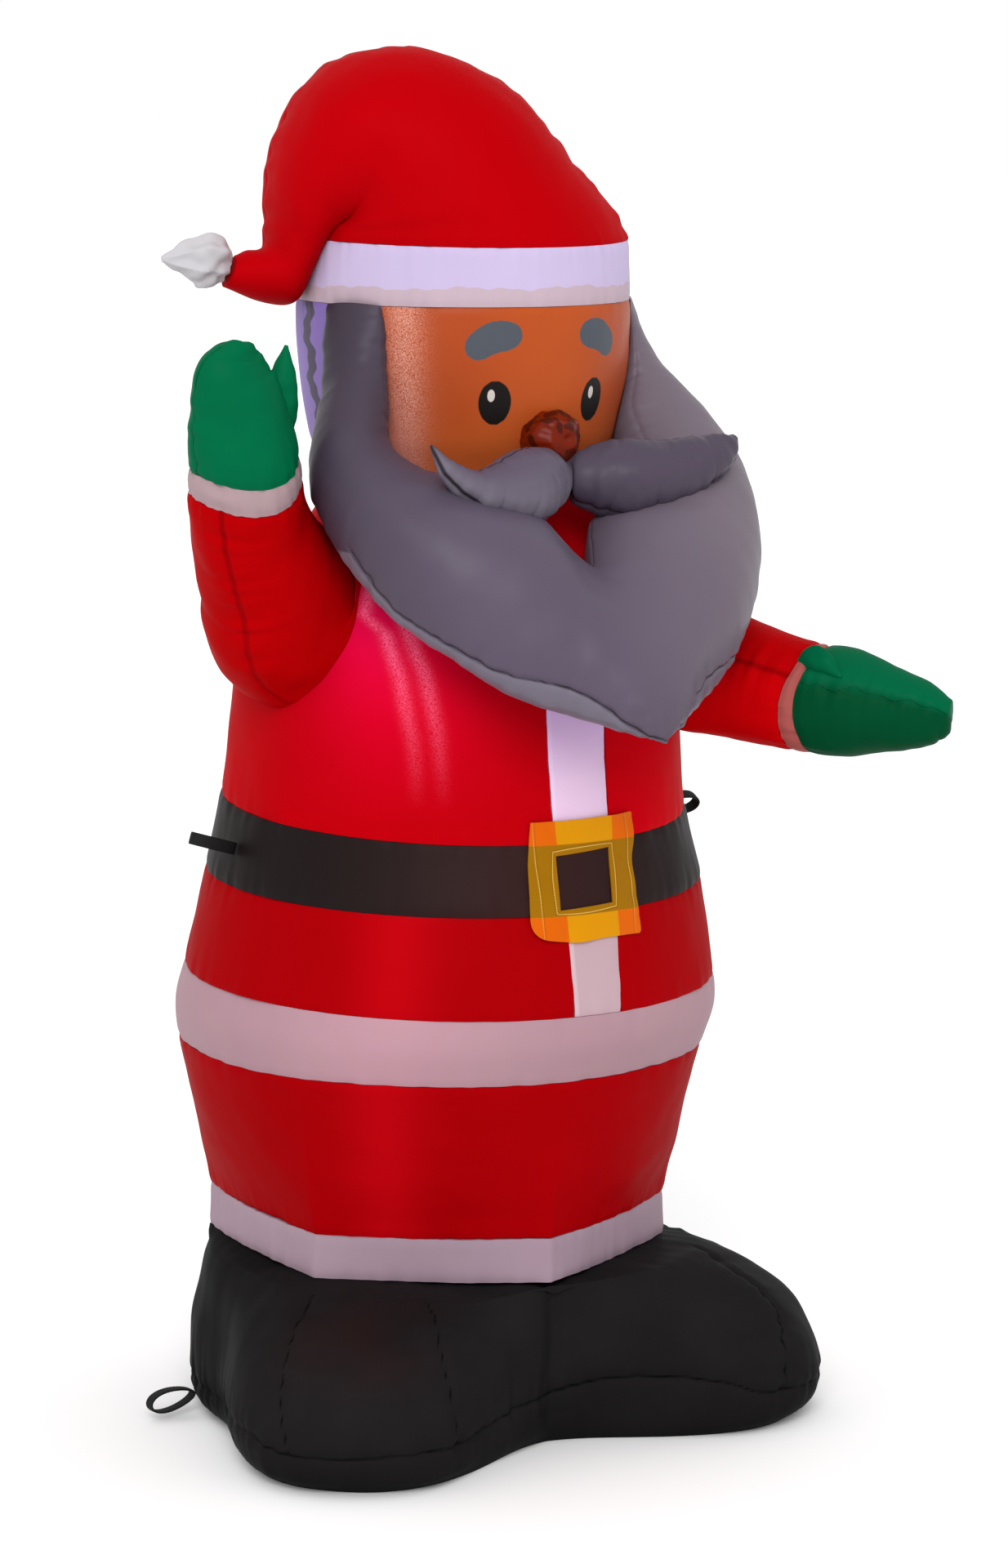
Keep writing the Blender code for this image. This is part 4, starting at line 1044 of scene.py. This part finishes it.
# The outer edge's place out along the bend and up, the inner edge's, half the width, and the power
# that fills out the outer side.
HAT = [
    (-10.7, 88.6, 11.4, 87.1, 11.6, 0.90),
    (-8.0, 91.7, 11.0, 87.4, 11.3, 0.75),
    (-4.3, 96.1, 10.6, 87.6, 10.6, 0.65),
    (-0.1, 98.9, 10.4, 87.7, 9.8, 0.60),
    (4.5, 100.0, 10.3, 87.7, 8.8, 0.60),
    (8.9, 99.3, 10.4, 87.5, 8.0, 0.60),
    (11.8, 97.3, 10.6, 87.2, 7.1, 0.60),
    (13.5, 94.0, 10.9, 86.7, 6.1, 0.65),
    (14.35, 90.5, 11.3, 85.8, 5.0, 0.70),
    (14.5, 87.7, 11.8, 84.3, 3.9, 0.80),
    (14.9, 86.1, 13.0, 82.1, 3.1, 0.90),
    (16.1, 85.7, 15.4, 82.2, 2.3, 1.00),
    (17.1, 85.4, 17.9, 83.1, 1.4, 1.00),
]
# The bag's centres out along the bend and up, and its half sizes up and across.
POMPOM = [
    (17.62, 84.30, 0.90, 0.90),
    (18.30, 84.60, 1.60, 1.50),
    (19.30, 85.00, 1.95, 1.80),
    (20.40, 85.20, 1.55, 1.50),
    (21.50, 85.20, 0.85, 0.85),
    (22.40, 85.20, 0.20, 0.20),
]

bend = math.radians(HAT_BEND)
outwards = np.array([math.sin(bend), -math.cos(bend), 0.0])
sideways = np.array([-outwards[1], outwards[0], 0.0])
hat_shift = smooth(COLUMN, BAND_TOP)[1]
hat_axis = np.array([0.0, -hat_shift * PERCENT, 0.0])
hat_section = full_turn(HAT_ROUND)
hat_foot = body_surface(BAND_TOP + SEAM_GAP / PERCENT, bend + math.pi - hat_section)
read = through(HAT, 200)
outer = hat_axis + (outwards * read[:, :1] + np.array([0, 0, 1]) * read[:, 1:2]) * PERCENT
inner = hat_axis + (outwards * read[:, 2:3] + np.array([0, 0, 1]) * read[:, 3:4]) * PERCENT
power = np.where(np.cos(hat_section) < 0, read[:, 5:6], 1.0)
swell = powered(np.sin(hat_section), power) * read[:, 4:5] * PERCENT
hat = (outer + inner)[:, None] / 2 + np.cos(hat_section)[:, None] * (outer - inner)[:, None] / 2
hat = hat + swell[..., None] * sideways
rise = np.linspace(0, 1, 9)[:-1, None, None]
hat = np.concatenate([hat_foot * (1 - rise) + hat[0] * rise, hat])
# Thirty rounds of the mean with the neighbouring rows even out the step over the band.
for _ in range(30):
    hat[1:40] = (hat[:39] + hat[1:40] * 2 + hat[2:41]) / 4
out_there = (hat[:, 0] - hat_axis) @ outwards
# The seam runs over the crown, up to 18 degrees round from the ridge towards the front.
spot = -18 / 360 * HAT_ROUND * np.clip(out_there / 0.11, -1, 1)
spot_low, row = np.floor(spot).astype(int), np.arange(len(hat))
share = (spot - spot_low)[:, None]
ridge = hat[row, spot_low % HAT_ROUND] * (1 - share) + hat[row, (spot_low + 1) % HAT_ROUND] * share
ridge_distance = np.linalg.norm(hat - ridge[:, None], axis=2)
ridge_turns = run_along(ridge)[:, None] / 0.040
hat_relief = sewn(ridge_distance, ridge_turns, 90, depth=0.0014, rise=0.0032, reach=0.015)
foot_distance = np.linalg.norm(hat - hat_foot, axis=2)
hat_relief += sewn(foot_distance, hat_section / (2 * math.pi) * 32, 91, rise=0.0006)
hat_relief += 0.0014 * soft_waves(hat, 0.14, 92) + 0.0003 * soft_waves(hat, 0.04, 93)
hat = moved_out(hat, hat_relief)
# Red polyester like the coat's, with no lamp behind it: an even, deep red.
hat_red = polyester("hat_polyester", "#AA0008", "#A20006", gloss=0.008)
sew_on(skin("hat", hat), hat_red, "red_cloth", "hat")

across, back = outwards[:2]
tip = [(out * across, out * back - hat_shift, up, tall, wide, 1.0, 0.0) for out, up, tall, wide in POMPOM]
bag_section = full_turn(96)
bag, at = swept(tip, 60, bag_section, (0, 0, 1))
share = ((at - at[0]) / (at[-1] - at[0]))[:, None]
# Seven sharp folds and three broad ones, each 1 - |sin|, that wind a little along the bag.
folds = 0.5 - np.abs(np.sin(bag_section * 3.5 + 1.6 * share))
folds = folds - 0.4 * np.abs(np.sin(bag_section * 1.5 + 2.0 - share))
bag_relief = 0.0042 * folds * np.sin(math.pi * share.clip(0.02, 0.98)) ** 0.5
bag_relief += 0.0022 * soft_waves(bag, 0.022, 96)
bag = moved_out(bag, bag_relief * (1 - share**3))
# White polyester with no light behind it: a plain pale grey, whiter than the trims.
bag_white = polyester("bag_polyester", "#BDBBBE", "#AFADB1", gloss=0.1)
sew_on(skin("pompom", bag), bag_white, "white_cloth", "pompom")


# The arms. Red sleeves that come out of the body's sides, narrow white cuffs, and green mittens
# with a thumb, sewn from two halves. The right arm is raised and the left one is held out.
ARM_ROUND = 128
# In the tables: the centre, half sizes along the side axis and across it, pinch and dip.
RIGHT_ARM = [
    (-9.0, -3.6, 59.2, 6.6, 5.4, 1.0, 0.0),
    (-15.0, -4.3, 59.9, 6.2, 5.3, 1.0, 0.0),
    (-17.4, -5.7, 63.0, 5.25, 5.0, 1.0, 0.2),
    (-20.1, -7.4, 67.2, 4.25, 4.2, 1.0, 0.5),
    (-21.2, -8.6, 70.1, 4.1, 3.95, 1.05, 0.8),
    (-21.5, -9.05, 71.6, 4.0, 3.8, 1.1, 0.8),
    (-21.9, -9.45, 73.5, 4.0, 3.5, 1.2, 0.6),
    (-22.4, -9.8, 75.7, 3.5, 2.9, 1.25, 0.3),
    (-22.9, -10.1, 77.7, 3.0, 2.1, 1.25, 0.0),
    (-22.9, -10.5, 79.2, 2.1, 1.3, 1.25, 0.0),
    (-22.85, -10.75, 79.7, 1.35, 0.80, 1.25, 0.0),
    (-22.85, -10.8, 80.0, 0.85, 0.45, 1.25, 0.0),
    (-22.8, -10.8, 80.2, 0.12, 0.12, 1.25, 0.0),
]
RIGHT_THUMB = [
    (-20.6, -9.3, 71.6, 0.9, 1.2, 1.0, 0.0),
    (-20.0, -9.4, 73.6, 2.0, 1.5, 1.1, 0.0),
    (-19.3, -9.7, 75.6, 1.7, 1.3, 1.2, 0.0),
    (-18.9, -10.0, 77.6, 1.0, 0.9, 1.2, 0.0),
    (-18.7, -10.2, 79.6, 0.15, 0.15, 1.2, 0.0),
]
LEFT_ARM = [
    (8.4, -5.2, 57.0, 6.4, 5.8, 1.0, 0.0),
    (12.9, -11.3, 55.9, 5.2, 5.0, 1.0, 0.0),
    (15.8, -15.0, 54.8, 4.4, 4.3, 1.0, 0.4),
    (19.1, -19.1, 53.6, 3.95, 3.9, 1.0, 1.0),
    (19.8, -19.95, 53.4, 3.9, 3.85, 1.05, 1.0),
    (21.2, -21.8, 53.3, 3.9, 3.6, 1.1, 0.5),
    (23.0, -24.1, 53.0, 3.1, 2.9, 1.1, 0.2),
    (25.0, -26.5, 52.5, 2.2, 1.9, 1.1, 0.0),
    (25.5, -27.1, 52.4, 1.7, 1.4, 1.1, 0.0),
    (25.8, -27.45, 52.3, 1.05, 0.8, 1.1, 0.0),
    (25.9, -27.55, 52.3, 0.12, 0.12, 1.1, 0.0),
]
LEFT_THUMB = [
    (17.3, -20.4, 55.9, 0.15, 0.15, 1.3, 0.0),
    (17.6, -20.9, 56.2, 0.70, 0.45, 1.4, 0.0),
    (18.1, -21.7, 56.5, 1.15, 0.70, 1.5, 0.0),
    (18.5, -22.5, 56.2, 0.85, 0.65, 1.5, 0.0),
    (19.0, -23.6, 55.5, 0.10, 0.10, 1.5, 0.0),
]

# The coat's red cloth: in the open on the right arm, and in the beard's shade on the left one.
sleeve_red = polyester("sleeve_polyester", "#A70005", "#980002", gloss=0.008)
left_red = polyester("left_sleeve_polyester", "#B60006", "#A60004", gloss=0.008)
# White cuffs, painted pinkish with the red light of the sleeves beside them; the left one is a copy
# painted darker and redder, in shade.
cuff_white = polyester("cuff_polyester", "#A18A8E", "#967E82", gloss=0.1, roughness=0.55)
left_cuff_white = polyester("shaded_cuff_polyester", "#9D4E4A", "#944B47", gloss=0.05, roughness=0.55)
# Green polyester: a clear, cool green with a dull sheen, deep in the folds and underneath. The
# left mitten's green is a copy painted darker, in shade.
green_polyester = polyester("green_polyester", "#006540", "#005433", gloss=0.02, roughness=0.45)
left_green = polyester("shaded_green_polyester", "#004627", "#003B21", gloss=0.02, roughness=0.45)
# The sleeve seams: a dark seam line, drawn broad and soft as the painted shade of the fold along it.
for made in (sleeve_red, left_red):
    paint_over(made, "#820004", below(made, "seam", 0.0022, 0.0018))
for made in (green_polyester, left_green):
    paint_over(made, "#001C10", below(made, "seam", 0.0008, 0.0006))
# Painted shade on the upper side of the left sleeve; painted light on the left mitten's top and thumb.
paint_over(left_red, "#900002", "upper", 0.4)
paint_over(left_green, "#00704A", "upper", 0.4)
arm_section = full_turn(ARM_ROUND)


def add_arm(name, arm, cuff, thumb, side_axis, seam_places, cloths, seed):
    """Sleeve, cuff and mitten, swept along one line and parted at two rows of the arm's table, and
    the thumb. Seams run along at given degrees of the section, and round at the parts' edges."""
    sleeve_cloth, cuff_cloth, mitten_cloth = cloths
    run = run_along(np.array(arm)[:, :3])
    gap = SEAM_GAP / PERCENT
    start, end = run[cuff[0]], run[cuff[1]]
    for piece, low, high, many, made, finish in (
        ("sleeve", 0.0, start, 130, sleeve_cloth, "red_cloth"),
        ("cuff", start + gap, end, 14, cuff_cloth, "white_cloth"),
        ("mitten", end + gap, run[-1], 90, mitten_cloth, "green_cloth"),
    ):
        rows, at = swept(arm, np.linspace(low, high, many), arm_section, side_axis)
        girth = np.linalg.norm(rows[:, 0] - rows[:, ARM_ROUND // 2], axis=1)[:, None] / 2
        length = (at * PERCENT)[:, None]
        seam = np.full(rows.shape[:2], 1.0)
        relief = 0.0009 * soft_waves(rows, 0.07, seed + 1) + 0.0004 * soft_waves(rows, 0.03, seed + 2)
        for place in seam_places[piece]:
            strays = 0.10 * puckers(length / 0.05, seed + 5) if piece == "mitten" else 0.0
            off = from_zero(arm_section - math.radians(place) + strays) * girth
            stitch = {"depth": 0.0014, "width": 0.003, "rise": 0.0018, "reach": 0.018}
            relief += sewn(off, length / 0.028, seed + int(place), **stitch)
            seam = np.minimum(seam, off)
        around_turns = arm_section / (2 * math.pi) * 16
        for edge, at_edge in ((low, piece != "sleeve"), (high, piece != "mitten")):
            if at_edge:
                off = np.abs(at - edge)[:, None] * PERCENT
                relief += sewn(off, around_turns, int(edge * 100), rise=0.0009, reach=0.012)
        rows = moved_out(rows, relief)
        upper = ((np.cos(arm_section) - 0.30) / 0.25).clip(0, 1)
        marks = {"seam": seam, "upper": upper}
        sew_on(skin(f"{name}_{piece}", rows, marks), made, finish, f"{name}_{piece}")
    rows, at = swept(thumb, 40, arm_section[::2], side_axis)
    rows = moved_out(rows, 0.0006 * soft_waves(rows, 0.02, seed + 9))
    piece = skin(f"{name}_thumb", rows, {"seam": 1.0, "upper": 1.0})
    piece.data.materials.append(mitten_cloth)
    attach(piece, "root")


add_arm(
    "right", RIGHT_ARM, (4, 5), RIGHT_THUMB, (1, 0, 0.2),
    {"sleeve": [215.0, 35.0], "cuff": [215.0], "mitten": [0.0, 180.0]},
    (sleeve_red, cuff_white, green_polyester), 100,
)  # fmt: skip
add_arm(
    "left", LEFT_ARM, (3, 4), LEFT_THUMB, (0, 0, 1),
    {"sleeve": [62.0, 242.0], "cuff": [62.0], "mitten": [66.0, 246.0]},
    (left_red, left_cuff_white, left_green), 120,
)  # fmt: skip


# The buckle. A square frame of thin yellow cloth laid on the belt and sewn down by its sides and
# round its window, so that the red, white and black behind it show through as three yellows.
# Corners across and up from the buckle's middle, in metres.
BUCKLE_CORNERS = [(-0.0567, -0.0496), (0.0526, -0.0541), (0.0563, 0.0545), (-0.0468, 0.0532)]
WINDOW_CORNERS = [(-0.0280, -0.0269), (0.0250, -0.0240), (0.0282, 0.0267), (-0.0261, 0.0229)]
BUCKLE_HEIGHT = 43.0
ROUNDED = 0.016
BUCKLE_THICKNESS = 0.0012
BUCKLE_OFF = 0.0014
SIDE_POINTS = 60
FRAME_POINTS = 24


def four_sided(corners, many):
    """Points round a four-sided shape, many to a side, the first at the first corner."""
    corners, steps = np.array(corners), np.arange(many)[:, None] / many
    return np.concatenate([corners[k] + (corners[(k + 1) % 4] - corners[k]) * steps for k in range(4)])


# The rim: straight sides, the first corner rounded off, and a bow or a nick where the cloth gives.
rim = four_sided(BUCKLE_CORNERS, SIDE_POINTS)
from_corner = np.linalg.norm(rim - rim[0], axis=1)[:, None]
inwards = np.array([0.707, 0.707])
rim = rim + 0.36 * ROUNDED * np.clip(1 - from_corner / ROUNDED, 0, 1) ** 2 * inwards
rim_step = np.arange(4 * SIDE_POINTS)
rim[:, 1] -= 0.0036 * np.exp(-(((rim_step - 22) / 14) ** 2))
rim[:, 0] -= 0.0022 * np.exp(-(((rim_step - 210) / 22) ** 2))
on_second = (rim_step > SIDE_POINTS) & (rim_step < 2 * SIDE_POINTS)
rim[:, 0] += 0.0018 * np.cos((rim_step / SIDE_POINTS - 1) * 2 * math.pi) * on_second
# The frame: a front face from the rim in to the window, and a back face from the window out.
across_frame = np.concatenate([np.linspace(0, 1, FRAME_POINTS), np.linspace(1, 0, FRAME_POINTS)])
lift = np.concatenate([np.full(FRAME_POINTS, BUCKLE_THICKNESS), np.zeros(FRAME_POINTS)])
window = four_sided(WINDOW_CORNERS, SIDE_POINTS)
flat_place = rim[:, None] + (window - rim)[:, None] * across_frame[:, None]
wave = 0.0016 * soft_waves(np.dstack([flat_place, 0 * flat_place[..., :1]]), 0.045, 130)
buckle_height = BUCKLE_HEIGHT + flat_place[..., 1] / PERCENT
buckle_angle = flat_place[..., 0] / body_radius(buckle_height)
away = BUCKLE_OFF + lift + np.abs(wave) * (1 - across_frame) ** 0.5
buckle = body_surface(buckle_height, buckle_angle, -away)
strip_left, strip_right = np.moveaxis(smooth(STRIP_EDGES, buckle_height), -1, 0)
buckle_degrees = np.degrees(buckle_angle)
per_degree = np.radians(1) * body_radius(buckle_height)
marks = {
    "over_strip": np.maximum(strip_left - buckle_degrees, buckle_degrees - strip_right) * per_degree,
    "over_belt": np.maximum(SEAMS["belt"] - buckle_height, buckle_height - SEAMS["chest"]) * PERCENT,
    "to_window": np.linalg.norm(flat_place - window[:, None], axis=2) * np.where(lift > 0, 1, 9),
    "to_side": np.minimum(flat_place[..., 0] + 0.0535, 0.0565 - flat_place[..., 0]),
    "up": flat_place[..., 1],
    "run": flat_place[..., 0] + flat_place[..., 1] * 0.97,
}
# Thin yellow polyester: orange over the red, lighter over the white and olive over the black, with
# rows of pale stitches 1.1 mm apart, and a thin line of painted shade beside each row, where the
# cloth is drawn in a little.
STITCH_STEP = 0.0011
yellow_cloth = polyester("yellow_cloth", "#CC5C00", "#C45600", gloss=0.06, roughness=0.4)
paint_over(yellow_cloth, "#C48200", below(yellow_cloth, "over_strip", 0.0, 0.0006))
paint_over(yellow_cloth, "#8F6000", below(yellow_cloth, "over_belt", 0.0, 0.0006))
for mark, off, strength in (("to_window", 0.0048, 0.9), ("to_side", 0.0080, 0.8)):
    step = {0: socket_of(yellow_cloth, "run"), 1: STITCH_STEP}
    bobs = add_node(yellow_cloth.node_tree, "ShaderNodeMath", step, operation="PINGPONG").outputs[0]
    shares = [bump_of(yellow_cloth, mark, off, 0.00038), below(yellow_cloth, bobs, 0.0008, 0.0001)]
    if mark == "to_side":
        shares.append(bump_of(yellow_cloth, "up", 0.0, 0.045))
    paint_over(yellow_cloth, "#E8C068", *shares, strength)
    # A thin line of painted shade just outside the stitches.
    paint_over(yellow_cloth, "#5A3A00", bump_of(yellow_cloth, mark, off + 0.0012, 0.0008), 0.25)
piece = skin("buckle", buckle, marks, ring=True)
sew_on(piece, yellow_cloth, "yellow_cloth", "buckle")


# The tether loops. Flat black polypropylene webbing, 11 mm wide with cross ribs, doubled into a
# loop and sewn into the side seams at the belt and low on the boots.
WEBBING_WIDTH = 0.011
WEBBING_THICKNESS = 0.002
SQUARED = 0.35
LOOP_LENGTH = 0.046
LOOP_HEIGHT = 0.024
LOOP_OFF = 0.0012
# Angle and height of the root, the webbing's turn about its own run, and its rise from level.
LOOPS = {
    "belt_loop_right": (-94.0, 43.0, 90.0, 17.0),
    "belt_loop_left": (88.0, 43.8, 28.0, 0.0),
    "boot_loop_right": (-108.0, 1.7, 0.0, -8.0),
    "boot_loop_left": (108.0, 1.7, 0.0, -8.0),
}

# Polypropylene webbing, woven in ribs: a matt black that catches light only along its edges.
webbing = polyester("ribbed_webbing", "#151414", "#0C0B0B", gloss=0.2, roughness=0.75)
# Each is a flattened ring, half_length * (1 - cos) out and half_height * sin up, narrower at its
# root, with a rounded oblong section that swells at forty ribs.
for name, (place, height, turned, risen) in LOOPS.items():
    angle = math.radians(place)
    root = boot_surface(height, angle) if height < HEM_BOTTOM else body_surface(height, angle)
    side = math.copysign(1.0, place)
    turned, risen = math.radians(turned), math.radians(risen)
    out_way = np.array([side * math.cos(risen), 0, math.sin(risen)])
    up_way = np.array([-side * math.sin(risen), 0, math.cos(risen)])
    back_way = np.array([0, 1, 0])
    open_way = math.cos(turned) * up_way - math.sin(turned) * back_way
    flat_way = math.sin(turned) * up_way + math.cos(turned) * back_way
    round_loop = full_turn(120)
    half_height = (LOOP_HEIGHT - WEBBING_THICKNESS) / 2
    half_length = (LOOP_LENGTH - WEBBING_THICKNESS) / 2
    out = half_length * (1 - np.cos(round_loop)) + WEBBING_THICKNESS / 2
    up = half_height * np.sin(round_loop) * (0.62 + 0.38 * np.sin(round_loop / 2) ** 2)
    line = root + LOOP_OFF * out_way + out[:, None] * out_way + up[:, None] * open_way
    tangent = unit(np.roll(line, -1, axis=0) - np.roll(line, 1, axis=0))
    outward = np.cross(tangent, flat_way)
    edge = full_turn(32)
    wide = powered(np.cos(edge), SQUARED) * WEBBING_WIDTH / 2
    thick = powered(np.sin(edge), SQUARED) * WEBBING_THICKNESS / 2
    ribs = 1 + 0.12 * np.cos(round_loop * 40)[:, None]
    rows = line[:, None] + wide[None, :, None] * flat_way + (thick * ribs)[..., None] * outward[:, None]
    piece = skin(name, rows, ring=True)
    piece.data.materials.append(webbing)
    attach(piece, "root")
    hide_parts(name)
